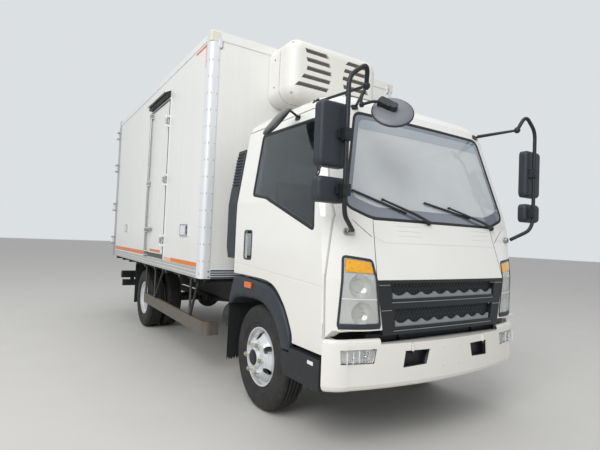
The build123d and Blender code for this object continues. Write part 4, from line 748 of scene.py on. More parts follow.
def outline_on(skin, outline, corner, side=0, inset=10, spacing=40):
    """A closed outline laid on the front skin or on one side's, as a path and its facings."""
    ring = filled_in(rounded(outline, corner, 5), spacing)
    middle = sum(ring, Vector((0, 0))) / len(ring)
    return zip(*(spot_on(skin, spot, (middle - spot).normalized() * inset, side) for spot in ring))


def line_on(skin, points, spacing=30):
    """An open line laid on the front skin, as a path and its facings."""
    run = filled_in([Vector(p) for p in points], spacing, closed=False)
    return zip(*(spot_on(skin, spot, Vector((0, 0)), 0) for spot in run))


def strip_on(skin, outer, inner, corner, lift):
    """A thin strip laid on the front skin between an outer and an inner outline with as many corners."""
    fills = 20
    rings = []
    for outline in (outer, inner):
        ring = rounded(outline, corner, 4)
        pairs = zip(ring, ring[1:] + ring[:1])
        rings.append([a.lerp(b, step / fills) for a, b in pairs for step in range(fills)])
    laid = [on_front(skin, *spot) for out, into in zip(*rings) for spot in (out.lerp(into, 0.12), into)]
    corners = [place + facing * lift * MM for place, facing in laid]
    starts = range(0, len(corners), 2)
    return corners, [(i, (i + 2) % len(corners), (i + 2) % len(corners) + 1, i + 1) for i in starts]


set_camera()
cab_front = skin_of("cab_shell", "front_panel", "cab_glass", "headlamps", "grille")
cab_side = skin_of("cab_shell", "cab_door_right", "cab_door_left", "door_glass_right", "door_glass_left")
cab_outer = skin_of("cab_shell", "front_panel")
box_skin = skin_of("box_right_wall", "box_front_wall", "box_edges", "box_roof")


# Cab glass: rubber round the windscreen and the door windows, and the fired border and the tinted band on
# the windscreen. Outlines on the front are (across, height), and those on a side (station, height).
SCREEN = [(-600, 1436), (600, 1436), (800, 1506), (638, 2144), (-638, 2144), (-800, 1506)]
SCREEN_CLEAR = [(-556, 1512), (556, 1512), (744, 1570), (604, 2104), (-604, 2104), (-744, 1570)]
SCREEN_CORNER = 55
SCREEN_SEAL = band(24, 4)
BORDER_LIFT = 1.0
SHADE_BAND = [(-621, 2034), (621, 2034), (602, 2106), (-602, 2106)]
SHADE_LIFT = 0.8
WINDOW = [(-128, 1616), (98, 1583), (745, 1348), (725, 1760), (600, 2085), (-130, 2100)]
WINDOW_CORNER = 32
WINDOW_SEAL = band(26, 4.5)


def glass_trim():
    seal = swept(*outline_on(cab_front, SCREEN, SCREEN_CORNER), SCREEN_SEAL, closed=True)
    piece("windscreen_seal", [seal], "rubber", "cab")
    border = strip_on(cab_front, SCREEN, SCREEN_CLEAR, SCREEN_CORNER, BORDER_LIFT)
    piece("windscreen_border", [border], "border", "cab")
    shade = patch(cab_front, SHADE_BAND, 40, 4, lambda u, v: SHADE_LIFT)
    piece("windscreen_shade_band", [shade], "shade", "cab", smooth=60)
    for side, name in SIDES:
        seal = swept(*outline_on(cab_side, WINDOW, WINDOW_CORNER, side), WINDOW_SEAL, closed=True)
        piece(f"door_window_seal_{name}", [seal], "rubber", f"cab_door_{name}")


# Front panel: the thin gaps round it, and those that run from it to the windscreen pillars.
PANEL = [(-634, 1068), (-598, 1430), (598, 1430), (634, 1068)]
PANEL_GAP = band(4.5, 0.5)
PILLAR_GAP_PIXELS = ((372, 237), (355, 222), (338.5, 207))
PILLAR_GAP = band(4, 0.6)


def front_gaps():
    panel = swept(*line_on(cab_front, PANEL), PANEL_GAP)
    pillar = swept(*zip(*(seen_at(*pixel, cab_front) for pixel in PILLAR_GAP_PIXELS)), PILLAR_GAP)
    piece("front_panel_gaps", [panel, pillar] + mirrored([pillar]), "rubber", "cab")


# Headlamps: dark bezel and foot, ribbed amber turn lamp, bulbs and spokes in the two bowls, and the step
# between the bowls. Columns of the bowls: across, height, radius. Profiles are (along, radius).
LAMP = [(652, 1178), (838, 1200), (858, 779), (597, 776)]
LAMP_CORNER = 20
LAMP_BEZEL = band(15, 3.5)
LAMP_FOOT = [(856, 786), (602, 784)]
LAMP_FOOT_BAND = band(32, 5)
LAMP_STEP = [(846, 950), (626, 944)]
LAMP_STEP_BAND = band(5, 1.2)
BOWLS = [(742, 1024, 76), (726, 862, 70)]
BULB = [(-1, 0), (-1, 15), (12, 15), (18, 9), (20, 0)]
SPOKES = 12
SPOKE_REACH = 0.72
SPOKE_RADIUS = 1.6
TURN_LAMP = [(828, 1108), (652, 1098), (660, 1166), (822, 1184)]
TURN_RIBS = 7


def turn_lens(u, v):
    """How far the ribbed lens stands out, in millimetres; its edges are sunk."""
    inside = 0.01 < u < 0.99 and 0.05 < v < 0.95
    return 1.0 + 1.4 * abs(math.sin(u * math.pi * TURN_RIBS)) if inside else -0.3


def headlamp_trim():
    bowl_skin = skin_of("headlamp_housings")
    bezels, ambers, bulbs, steps = [], [], [], []
    for side, _ in SIDES:
        outline = outline_on(cab_front, to_side(side, LAMP), LAMP_CORNER, spacing=25)
        bezels.append(swept(*outline, LAMP_BEZEL, closed=True))
        bezels.append(swept(*line_on(cab_front, to_side(side, LAMP_FOOT), spacing=20), LAMP_FOOT_BAND))
        steps.append(swept(*line_on(cab_front, to_side(side, LAMP_STEP), spacing=20), LAMP_STEP_BAND))
        ambers.append(patch(cab_front, to_side(side, TURN_LAMP), 28, 6, turn_lens))
        for y, z, radius in BOWLS:
            deep, facing = on_front(bowl_skin, side * y, z)
            bulbs.append(turned(BULB, deep, facing, 16))
            for step in range(SPOKES):
                spoke = around(LEFT, UP, math.radians(step * 360 / SPOKES)) * radius * SPOKE_REACH
                end, leaning = on_front(bowl_skin, side * y + spoke.y, z + spoke.z)
                bulbs.append(tube([deep + facing * 2 * MM, end + leaning * 1 * MM], SPOKE_RADIUS, sides=4))
    piece("headlamp_bezels", bezels, "dark", "cab")
    piece("turn_lamps", ambers, "amber", "cab", smooth=60)
    piece("headlamp_bulbs", bulbs, "chrome", "cab")
    piece("headlamp_steps", steps, "reflector", "cab")


# Grille: the net behind its two rows of openings, the short bright bars beside them, and the lips under
# them. Columns of the rows: low, high, half width at the low edge, half width at the high edge. Of the bars:
# outer and inner end, height. Of the lips: half width, height.
GRILLE_ROWS = [(772, 884, 482, 500), (944, 1040, 512, 528)]
NET_PITCH = 30
NET_EDGE = 6
NET_SIDE = 8
NET_LEAN = 0.6
NET_LIFT = 1.5
NET_RADIUS = 2.4
BRIGHT_BARS = [(620, 512, 1030), (594, 494, 876)]
BRIGHT_BAR = band(6, 3)
GRILLE_LIPS = [(512, 922), (490, 748)]
GRILLE_LIP = band(5, 2)


def grille_net():
    net_skin = skin_of("grille")
    net = []
    for low, high, half_low, half_high in GRILLE_ROWS:
        rise = high - low - 2 * NET_EDGE
        half = min(half_low, half_high) - NET_SIDE
        feet = [-half + k * NET_PITCH for k in range(int(2 * half // NET_PITCH) + 1)]
        for foot, head in [(foot, foot + lean * rise * NET_LEAN) for lean in (-1, 1) for foot in feet]:
            if abs(head) < half:
                spots = [(foot + (head - foot) * t, low + NET_EDGE + rise * t) for t in (0, 0.5, 1)]
                laid = [on_front(net_skin, *spot) for spot in spots]
                net.append(tube([p + f * NET_LIFT * MM for p, f in laid], NET_RADIUS, sides=4, ends=False))
    piece("grille_net", net, "dark", "cab")


def grille_bars():
    ends = [[(side * outer, z), (side * inner, z)] for side, _ in SIDES for outer, inner, z in BRIGHT_BARS]
    bars = [swept(*line_on(cab_front, run, spacing=20), BRIGHT_BAR) for run in ends]
    piece("grille_bright_bars", bars, "zinc", "cab")
    # The grey lips stand for the light along the bars' upper lips: a painted highlight.
    lips = [swept(*line_on(cab_front, [(-half, z), (half, z)]), GRILLE_LIP) for half, z in GRILLE_LIPS]
    piece("grille_lips", lips, "strip", "cab")


# Door handles: a bezel round the pressed recess, its dark pan, the pull bar with its bright edge, and the
# lock. Here and below, a plate's sizes are (width, height, thickness, corner radius).
HANDLE = four_corners(-222, -94, 1117, 1339)
HANDLE_CORNER = 22
HANDLE_BEZEL = band(12, 3.5)
HANDLE_PAN = four_corners(-218, -98, 1121, 1335)
PULL_BAR, PULL_SIZE = (-150, 1232), (62, 176, 22, 14)
PULL_EDGE, PULL_EDGE_SIZE = (-112, 1232), (5, 168, 23.5, 2)
LOCK_SPOT = (-196, 1300)
LOCK_BARREL = [(-SUNK, 0), (-SUNK, 10), (9, 10), (11, 7), (11, 0)]


def door_handles():
    for side, name in SIDES:
        body = f"cab_door_{name}"
        outline = outline_on(cab_side, HANDLE, HANDLE_CORNER, side, inset=-14, spacing=20)
        piece(f"door_handle_bezel_{name}", [swept(*outline, HANDLE_BEZEL, closed=True)], "dark", body)
        pan = patch(cab_side, HANDLE_PAN, 4, 6, lambda u, v: 1.0, side)
        piece(f"door_handle_pan_{name}", [pan], "black", body)
        pull = plate(*on_side(cab_side, side, *PULL_BAR), UP, *PULL_SIZE)
        piece(f"door_handle_pull_{name}", [pull], "border", body, bevel=5, segments=3)
        trim = [turned(LOCK_BARREL, *on_side(cab_side, side, *LOCK_SPOT), 16),
                plate(*on_side(cab_side, side, *PULL_EDGE), UP, *PULL_EDGE_SIZE)]
        piece(f"door_handle_lock_{name}", trim, "chrome", body)


# Wipers: arms from the cowl, and blades that lie along the glass. Pixels of the photograph for each: the
# blade's two ends, where the arm holds it, and the pivot. Sections are (across, outward). The arm's lifts are
# those of its pivot, its bend and its end.
WIPER_PIXELS = [((351, 190.5), (405, 214), (381, 200.5), (428, 223.5)),
                ((423, 203.5), (468, 219), (447, 209), (490.5, 229))]
BLADE_POINTS = 11
BLADE_LIFT = 5
BLADE = [(-1.5, -4), (-3, 2), (-7, 4), (-5, 12), (5, 12), (7, 4), (3, 2), (1.5, -4)]
ARM_POINTS = 14
ARM = [(-1, -4), (-1, 2), (-0.6, 4), (0.6, 4), (1, 2), (1, -4)]
ARM_HALF_WIDE, ARM_HALF_NARROW = 11, 5.5
ARM_BEND, ARM_BEND_AT = 50, 0.3
ARM_LIFTS = (18, 34, 20)
ARM_SHOE = (18, 14, 12, 3)
PIVOT_CAP = [(-2, 0), (-2, 17), (14, 17), (22, 12), (24, 0)]


def wipers():
    glass = skin_of("cab_glass", "front_panel", "cab_shell")
    blades, arms = [], []
    for start, end, held, pivot in WIPER_PIXELS:
        a, b = seen_at(*start, glass)[0], seen_at(*end, glass)[0]
        shares = [step / (BLADE_POINTS - 1) for step in range(BLADE_POINTS)]
        places, facings = zip(*(met(glass, a.lerp(b, t) + AHEAD * 0.5, -AHEAD) for t in shares))
        places = [place + facing * BLADE_LIFT * MM for place, facing in zip(places, facings)]
        blades.append(swept(places, facings, BLADE))
        hold, facing = seen_at(*held, glass)
        foot, foot_facing = seen_at(*pivot, glass)
        pivot_lift, bend_lift, end_lift = (lift * MM for lift in ARM_LIFTS)
        knots = [foot + foot_facing * pivot_lift, foot.lerp(hold, ARM_BEND_AT) + facing * bend_lift,
                 hold + facing * end_lift]
        path = rounded(knots, ARM_BEND * MM, 6, closed=False)
        narrowing = (ARM_HALF_WIDE - ARM_HALF_NARROW) / (ARM_POINTS - 1)
        widths = [ARM_HALF_WIDE - narrowing * i for i in range(ARM_POINTS)]
        arms.append(swept(spaced(path, ARM_POINTS), [facing] * ARM_POINTS, ARM, widths=widths))
        arms.append(turned(PIVOT_CAP, foot, foot_facing, 20))
        arms.append(plate(hold + facing * ARM_SHOE[2] * MM, facing, UP, *ARM_SHOE))
    made = piece("wiper_blades", blades, "rubber", "cab")
    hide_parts("wipers")
    made = piece("wiper_arms", arms, "black", "cab")
    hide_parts("wipers")


glass_trim()
front_gaps()
headlamp_trim()
grille_net()
grille_bars()
door_handles()
wipers()


# Mirrors: bent tubes, stays, clamps and feet, the silvered glasses, and the look-down mirror's shell. Points
# are (station, across, height). Columns of the clamps' blocks: rear, front, middle across, half width, half
# height. Of the heads: inner and outer edge, low, high. Of a head's glass: thickness, corner radius.
ARM_Y = 945
ARM_JOINT = (1000, 777, 2211)
ARM_PATH = [(952, 801, 1354), (1030, 925, 1430), (1047, ARM_Y, 1500), (1047, ARM_Y, 2220), (1047, 810, 2325),
            ARM_JOINT]
ARM_RADIUS = 13.8
ARM_BALL = [(-24, 0), (-22, 12), (-12, 21), (0, 24), (12, 21), (22, 12), (24, 0)]
ARM_FOOT = (948, 801, 1354)
ARM_FOOT_PLATE = (76, 44, 12, 18)
ARM_SOCKET = [(4, 0), (4, 22), (22, 19), (26, 0)]
STAY_ENDS = [(745, 636, 2185), (520, 800, 2225)]
STAY_RADIUS = 9.5
STAY_FOOT = (52, 34, 7, 10)
CLAMP_HEIGHTS = [1885, 1572]
CLAMP_FRONT = 1069
CLAMP_BLOCKS = [(1016, CLAMP_FRONT, ARM_Y, 26, 34), (1014, 1034, 968, 24, 22)]
HEADS = [(895, 1100, 1700, 2072), (895, 1105, 1500, 1645)]
HEAD_REAR = 950
HEAD_MARGIN = 13
HEAD_GLASS = (1.5, 24)
HEAD_RIM = band(8, 2)
LOOK_DOWN_FACING = Vector((0.687, -0.481, 0.5446))
LOOK_DOWN_RADIUS = 127
LOOK_DOWN_THICKNESS = 8
LOOK_DOWN_Y, LOOK_DOWN_Z = -628, 2062
LOOK_DOWN_PATH = [(988, 805, 2130), (992, 800, 2096), (1030, 745, 2118)]
LOOK_DOWN_BALL = [(-16, 0), (-14, 12), (0, 17), (14, 12), (16, 0)]
LOOK_DOWN_STAY = 9
LOOK_DOWN_BRACKET = (1046, 680, 2120)
LOOK_DOWN_SEAT = 14
LOOK_DOWN_CLAMP = (54, 92, 44, 14)
LOOK_DOWN_SHELL = [(7.5, 0), (7.5, 119), (10, 121), (15, 116), (20.5, 92), (24, 60), (25.5, 25), (26, 0)]
LOOK_DOWN_RIM = [(-1.5, 112), (-2.5, 120), (0, 126.6), (6, 126.8), (8.5, 126), (10.5, 121), (8, 118),
                 (3, 112)]
LOOK_DOWN_GLASS = [(-1, 0), (-1, 113), (1, 113), (1, 0)]


def look_down_place(lift):
    """A point on the look-down mirror's own axis, this many millimetres before its glass. The mirror's edge
    reaches as far forward as the CAD node."""
    lean = LOOK_DOWN_FACING.x
    reach = LOOK_DOWN_RADIUS * math.sqrt(1 - lean ** 2) + LOOK_DOWN_THICKNESS * lean
    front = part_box("mirrors")[1].x - reach * MM
    return Vector((front, LOOK_DOWN_Y * MM, LOOK_DOWN_Z * MM)) + LOOK_DOWN_FACING * lift * MM


def mirror_arms():
    arms = []
    for side, _ in SIDES:
        joint = at(*ARM_JOINT, side)
        arms.append(tube([at(*point, side) for point in ARM_PATH], ARM_RADIUS, bend=60, sides=16))
        for end in STAY_ENDS:
            reach = at(*end, side)
            arms.append(tube([joint, joint.lerp(reach, 0.5), reach], STAY_RADIUS, sides=12))
            foot, facing = cab_outer.find_nearest(reach)[:2]
            arms.append(plate(foot, facing, AHEAD, *STAY_FOOT))
            arms += [bolt(foot + (facing * 6 + AHEAD * shift) * MM, facing, 6) for shift in (17, -17)]
        arms.append(turned(ARM_BALL, joint, UP, 20))
    run = [at(*point, -1) for point in [ARM_JOINT] + LOOK_DOWN_PATH + [LOOK_DOWN_BRACKET]]
    arms.append(tube(run, LOOK_DOWN_STAY, bend=25, sides=12))
    arms.append(turned(LOOK_DOWN_BALL, run[2], UP, 16))
    made = piece("mirror_tubes", arms, "black", "cab")
    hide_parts("mirror_arms")


def mirror_clamps():
    clamps, feet = [], []
    for side, _ in SIDES:
        for z in CLAMP_HEIGHTS:
            for rear, front, y, half, rise in CLAMP_BLOCKS:
                near, far = y - side * half, y + side * half
                clamps.append(block((rear, near, z - rise), (front, far, z + rise), side))
            clamps += [bolt(at(CLAMP_FRONT - 1, ARM_Y - side * 14, z + lift, side), AHEAD, 5.5, 4)
                       for lift in (-20, 20)]
        foot, facing = cab_outer.find_nearest(at(*ARM_FOOT, side))[:2]
        feet += [plate(foot, facing, UP, *ARM_FOOT_PLATE), turned(ARM_SOCKET, foot, facing, 20)]
    reach = at(*LOOK_DOWN_BRACKET, -1) - look_down_place(0)
    above = reach.dot(LOOK_DOWN_FACING) - LOOK_DOWN_SEAT * MM
    seat = look_down_place(0) + reach - LOOK_DOWN_FACING * above
    lean = (look_down_place(LOOK_DOWN_SEAT) - seat).normalized()
    clamps.append(plate(seat + lean * 16 * MM, LOOK_DOWN_FACING, lean, *LOOK_DOWN_CLAMP))
    made = piece("mirror_clamps", clamps, "black", "cab", bevel=5, segments=3)
    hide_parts("mirror_arms")
    made = piece("mirror_feet", feet, "zinc", "cab", bevel=2)
    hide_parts("mirror_arms")


def mirror_glasses():
    for name, profile, finish in (("shell", LOOK_DOWN_SHELL, "shell"), ("rim", LOOK_DOWN_RIM, "black")):
        form = turned(profile, look_down_place(0), LOOK_DOWN_FACING, 48)
        piece(f"look_down_{name}", [form], finish, "cab")
    glasses = [turned(LOOK_DOWN_GLASS, look_down_place(0), LOOK_DOWN_FACING, 48)]
    rims = []
    for side, _ in SIDES:
        for inner, outer, low, high in HEADS:
            middle = at(HEAD_REAR + 2, (inner + outer) / 2, (low + high) / 2, side)
            half_width, half_height = (outer - inner) / 2 - HEAD_MARGIN, (high - low) / 2 - HEAD_MARGIN
            glasses.append(plate(middle, -AHEAD, UP, 2 * half_width, 2 * half_height, *HEAD_GLASS))
            ring = [middle + Vector((-1, p.x * half_width, p.y * half_height)) * MM
                    for p in rounded(four_corners(-1, 1, -1, 1), 0.2, 4)]
            rims.append(swept(ring, [-AHEAD] * len(ring), HEAD_RIM, closed=True))
    piece("mirror_glasses", glasses, "silver", "cab")
    piece("mirror_rims", rims, "black", "cab")


# Kerb mirror over the right door: an oval domed shell on its stalk, and its glass below. Columns of the
# rings: share of the outline, and how far out of the glass's plane. Of the glass: share of the width, share
# of the height, how far out.
KERB_CENTRE = (375, -1022, 2083)
KERB_OUT = Vector((0, -0.786, 0.618))
KERB_ALONG = Vector((0, 0.618, 0.786))
KERB_HALF_WIDTH, KERB_HALF_HEIGHT = 88, 130
KERB_SQUARENESS = 0.72
KERB_RINGS = [(0.93, -5), (0.99, -6), (1.0, 0), (0.99, 6), (0.94, 11), (0.8, 15), (0.55, 17.5), (0.2, 18.5)]
KERB_POINTS = 48
KERB_STALK = [(375, -845, 2140), (375, -925, 2178), (375, -962, 2172)]
KERB_FOOT, KERB_FOOT_PLATE = (375, 2136), (30, 60, 8, 10)
KERB_GLASS = [(0.9, 0.93, -6.8), (0.9, 0.93, -4.5)]


def kerb_ring(wide, tall, lift):
    """A ring of the kerb mirror's squared oval, by its shares of width and height, moved out of its plane."""
    ring = []
    for step in range(KERB_POINTS):
        turn = 2 * math.pi * step / KERB_POINTS
        x, y = (math.copysign(abs(c) ** KERB_SQUARENESS, c) for c in (math.cos(turn), math.sin(turn)))
        spot = AHEAD * x * KERB_HALF_WIDTH * wide + KERB_ALONG * y * KERB_HALF_HEIGHT * tall
        ring.append(at(*KERB_CENTRE) + (spot + KERB_OUT * lift) * MM)
    return ring


def kerb_mirror():
    count = len(KERB_RINGS)
    corners = [corner for share, lift in KERB_RINGS for corner in kerb_ring(share, share, lift)]
    dome = corners, wall(count, KERB_POINTS) + both_ends(count, KERB_POINTS)
    stalk = tube([at(*point) for point in KERB_STALK], 8.5, bend=20, sides=12)
    foot = plate(*on_side(skin_of("cab_door_right"), -1, *KERB_FOOT), AHEAD, *KERB_FOOT_PLATE)
    made = piece("kerb_mirror_shell", [dome, stalk, foot], "gloss", "cab_door_right")
    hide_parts("kerb_mirror")
    corners = [corner for ring in KERB_GLASS for corner in kerb_ring(*ring)]
    glass = corners, both_ends(2, KERB_POINTS) + wall(2, KERB_POINTS)
    piece("kerb_mirror_glass", [glass], "silver", "cab_door_right")


# Wheel arch flares: a full rounded lip round each arch, its liner, and the amber side marker. Columns of the
# lip: how far in from the outer edge, as a share of the lip's width, and the place across the truck.
FLARE_OUTER = [(515, 560), (515, 627), (492, 690), (390, 840), (222, 952), (-109, 972), (-340, 972), (-395, 955),
               (-440, 860), (-462, 735)]
FLARE_ANGLES = (23.3, 35, 46, 57, 68, 79, 90)
FLARE_TAIL = [(-100, 819), (-284, 806), (-385, 782), (-425, 735)]
FLARE_FACE = 945
FLARE_BACK = 905
FLARE_STEPS = 72
LINER_END = 612
LINER_RADIUS = 430
LIP = [(0.0, FLARE_BACK), (0.0, 931), (0.05, 939), (0.14, 944), (0.3, FLARE_FACE), (0.62, 944), (0.82, 939),
       (0.94, 930), (1.0, 918), (1.0, LINER_END), (0.9, LINER_END), (0.9, FLARE_BACK - 6)]
SIDE_MARKER, SIDE_MARKER_SIZE = (-98, FLARE_FACE - 1, 921), (112, 46, 15, 10)
FLARE_SCREW_Y, FLARE_SCREW_EVERY, FLARE_SCREW_IN = 937, 11, 0.86


def wheel_arches():
    inner = [(LINER_RADIUS * math.cos(math.radians(a)), WHEEL_HEIGHT + LINER_RADIUS * math.sin(math.radians(a)))
             for a in FLARE_ANGLES]
    outer_run = spaced(rounded(FLARE_OUTER, 110, 8, closed=False), FLARE_STEPS)
    inner_run = spaced(rounded(inner + FLARE_TAIL, 60, 4, closed=False), FLARE_STEPS)
    lips, markers, screws = [], [], []
    for side, _ in SIDES:
        outward = Vector((0, side, 0))
        spots = [(out.lerp(into, share), across)
                 for out, into in zip(outer_run, inner_run) for share, across in LIP]
        corners = [at(spot.x, across, spot.y, side) for spot, across in spots]
        lips.append((corners, wall(FLARE_STEPS, len(LIP)) + both_ends(FLARE_STEPS, len(LIP))))
        markers.append(plate(at(*SIDE_MARKER, side), outward, UP, *SIDE_MARKER_SIZE))
        for i in range(6, FLARE_STEPS - 4, FLARE_SCREW_EVERY):
            spot = outer_run[i].lerp(inner_run[i], FLARE_SCREW_IN)
            screws.append(rivet(at(spot.x, FLARE_SCREW_Y, spot.y, side), outward, 7, 3))
    made = piece("arch_flares", lips, "dark", "cab", smooth=50)
    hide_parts("arch_trims")
    piece("side_markers", markers, "orange", "cab", bevel=4, segments=3)
    piece("flare_screws", screws, "black", "cab")


# Steps: ribbed treads and the small white reflector on each.
STEP_REAR, STEP_FRONT = 540, 852
STEP_RIBS, STEP_RIB_START, STEP_RIB_PITCH, STEP_RIB_HALF = 9, 722, 25, 4
STEP_RIB_LOW, STEP_RIB_HIGH = 585.5, 589
STEP_REFLECTOR, STEP_REFLECTOR_SIZE = (775, 944.5, 548), (62, 22, 1.2, 3)


def step_trim():
    ribs, tapes = [], []
    for side, _ in SIDES:
        for y in (STEP_RIB_START + i * STEP_RIB_PITCH for i in range(STEP_RIBS)):
            ribs.append(block((STEP_REAR, y - side * STEP_RIB_HALF, STEP_RIB_LOW),
                              (STEP_FRONT, y + side * STEP_RIB_HALF, STEP_RIB_HIGH), side))
        tapes.append(plate(at(*STEP_REFLECTOR, side), (0, side, 0), UP, *STEP_REFLECTOR_SIZE))
    piece("step_treads", ribs, "black", "chassis", bevel=1.2)
    piece("step_reflectors", tapes, "pale_tape", "chassis")


# Tyres: the tread's round grooves and the rings moulded on the sidewalls. Columns: distance from the tyre's
# middle, radius. Wheels: nut caps, hub caps, lock ring and valve. Columns of their profiles: along, radius.
TREAD = [(0, 389.9), (9, 389.9), (10.5, 378), (17.5, 378), (19, 389.8), (40, 389.2), (41.5, 377.5), (49.5, 377),
         (51, 388.6), (66, 386.5), (78, 382), (87, 373)]
SIDEWALL = [(91, 362), (95, 352), (98.3, 344), (98.3, 340), (96.6, 338), (98.4, 326), (98.6, 300), (98.0, 284),
            (96.0, 270), (97.4, 268), (97.2, 262), (94.5, 260), (88, 244), (84, 232), (84.5, 226), (80, 221.5),
            (74, 220.5)]
TYRE_BORE = [(70, 222), (76, 250), (86, 300), (78, 352), (55, 368), (0, 370)]
TYRE_HALF = 99
NUTS = 6
NUT_CIRCLE = 111.1
FRONT_NUT_OUT, REAR_NUT_OUT = 149, 45
REAR_DISC_IN = 117.5
FRONT_NUT_CAP = [(-4, 0), (-4, 18.6), (1, 18.6), (2, 13), (9, 12), (12, 7), (12, 0)]
REAR_NUT_CAP = [(-2, 0), (-2, 18.6), (3, 18), (10, 10), (12, 0)]
HUB_CAP = [(135, 0), (135, 58), (141, 58), (148, 50), (150, 20), (150, 0)]
HUB_RING = [(119.5, 63), (119.5, 83), (121, 83), (122, 63)]
LOCK_RING = [(80, 209), (80, 216), (86, 217.5), (86.5, 213), (84, 209)]
VALVE = [(60, 0), (60, 4), (98, 4), (98, 5.5), (108, 5.5), (109, 0)]
VALVE_PLACE = Vector((0.172, 0, 0.07))


def tyre_form(station, across):
    half = TREAD + SIDEWALL + TYRE_BORE
    profile = half + [(-a, r) for a, r in half[::-1][1:-1]]
    return turned(profile, at(station, across, WHEEL_HEIGHT), LEFT, 96)


def wheels():
    for side, name in SIDES:
        low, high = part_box(f"front_tyre_{name}")
        front = (low.y + high.y) / 2 / MM
        made = piece(f"front_tyre_rings_{name}", [tyre_form(0, front)], "tyre", f"front_wheel_{name}")
        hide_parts(f"front_tyre_{name}")
        low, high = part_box(f"rear_tyre_{name}")
        twins = [low.y / MM + TYRE_HALF, high.y / MM - TYRE_HALF]
        forms = [tyre_form(REAR_AXLE, y) for y in twins]
        made = piece(f"rear_tyre_rings_{name}", forms, "tyre", f"rear_wheel_{name}")
        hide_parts(f"rear_tyre_{name}")
        out = Vector((0, side, 0))
        hub = at(0, front, WHEEL_HEIGHT)
        disc = at(REAR_AXLE, abs(max(twins, key=abs)) - REAR_DISC_IN, WHEEL_HEIGHT, side)
        spots = [around(AHEAD, UP, math.radians(i * 360 / NUTS)) * NUT_CIRCLE * MM for i in range(NUTS)]
        for axle, middle, lift, cap, finish in (("front", hub, FRONT_NUT_OUT, FRONT_NUT_CAP, "brass"),
                                                ("rear", disc, REAR_NUT_OUT, REAR_NUT_CAP, "zinc")):
            nuts = [turned(cap, middle + spot + out * lift * MM, out, 12) for spot in spots]
            piece(f"{axle}_nut_caps_{name}", nuts, finish, f"{axle}_wheel_{name}")
        caps = [turned(HUB_CAP, hub, out, 32), turned(HUB_RING, hub, out, 32)]
        piece(f"front_hub_cap_{name}", caps, "black", f"front_wheel_{name}")
        rings = [turned(LOCK_RING, hub, out, 64), turned(VALVE, hub + VALVE_PLACE, out, 8)]
        piece(f"front_lock_ring_{name}", rings, "wheel", f"front_wheel_{name}")


# Mud flaps: rubber sheet on steel hangers, with a toothed lower edge at the front. Columns: station, inner
# and outer edge, low, high, the frame rail's place across, and whether the lower edge is toothed. The drops
# are from the sheet's top to the clamp's low edge, its bolts and its high edge.
FLAPS = [(-475, 645, 935, 250, 768, 375, True), (REAR_AXLE - 510, 530, 960, 255, 853, 375, False)]
FLAP_COLUMNS, FLAP_ROWS = 24, 14
FLAP_HALF = 1.5
FLAP_BOW = 1.0
TOOTH_HEIGHT, TOOTH_VARIES = 26, 8
HANGER_LOW, HANGER_HIGH = 671, 729
HANGER_HALF, HANGER_LAP, CLAMP_HALF = 3, 8, 3.9
CLAMP_DROPS = (46, 28, 10)
FLAP_BOLTS, FLAP_BOLT_IN = 4, 30


def flap_sheet(side, station, inner, outer, low, high, toothed):
    corners = []
    for face in (-FLAP_HALF, FLAP_HALF):
        for row in range(FLAP_ROWS + 1):
            for column in range(FLAP_COLUMNS + 1):
                u, v = column / FLAP_COLUMNS, row / FLAP_ROWS
                tooth = TOOTH_HEIGHT + TOOTH_VARIES * math.sin(column * 2.3) if column % 2 else 0
                bow = FLAP_BOW * math.sin(u * math.pi * 2) * (1 - v)
                z = low + (high - low) * v + (tooth if toothed and row == 0 else 0)
                corners.append(at(station + face + bow, inner + (outer - inner) * u, z, side))
    sheet = (FLAP_COLUMNS + 1) * (FLAP_ROWS + 1)
    faces = sheet_faces(FLAP_COLUMNS, FLAP_ROWS)
    faces += sheet_faces(FLAP_COLUMNS, FLAP_ROWS, sheet, turned_over=True)
    return corners, faces + rim_faces(FLAP_COLUMNS, FLAP_ROWS)


def mud_flaps():
    flaps, hangers = [], []
    for side, _ in SIDES:
        for station, inner, outer, low, high, rail, toothed in FLAPS:
            flaps.append(flap_sheet(side, station, inner, outer, low, high, toothed))
            hangers.append(block((station - HANGER_HALF, rail, HANGER_LOW),
                                 (station + HANGER_HALF, inner + HANGER_LAP, HANGER_HIGH), side))
            clamp_low, bolt_height, clamp_high = (high - drop for drop in CLAMP_DROPS)
            hangers.append(block((station - CLAMP_HALF, inner, clamp_low),
                                 (station + CLAMP_HALF, outer, clamp_high), side))
            between = (outer - inner - 2 * FLAP_BOLT_IN) / (FLAP_BOLTS - 1)
            for y in (inner + FLAP_BOLT_IN + between * i for i in range(FLAP_BOLTS)):
                for face in (1, -1):
                    place = at(station + face * (CLAMP_HALF - SUNK), y, bolt_height, side)
                    hangers.append(bolt(place, AHEAD * face, 6, 3))
    made = piece("flap_sheets", flaps, "rubber", "chassis")
    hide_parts("mudguards")
    made = piece("flap_hangers", hangers, "frame", "chassis")
    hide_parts("mudguards")


mirror_arms()
mirror_clamps()
mirror_glasses()
kerb_mirror()
wheel_arches()
step_trim()
wheels()
mud_flaps()


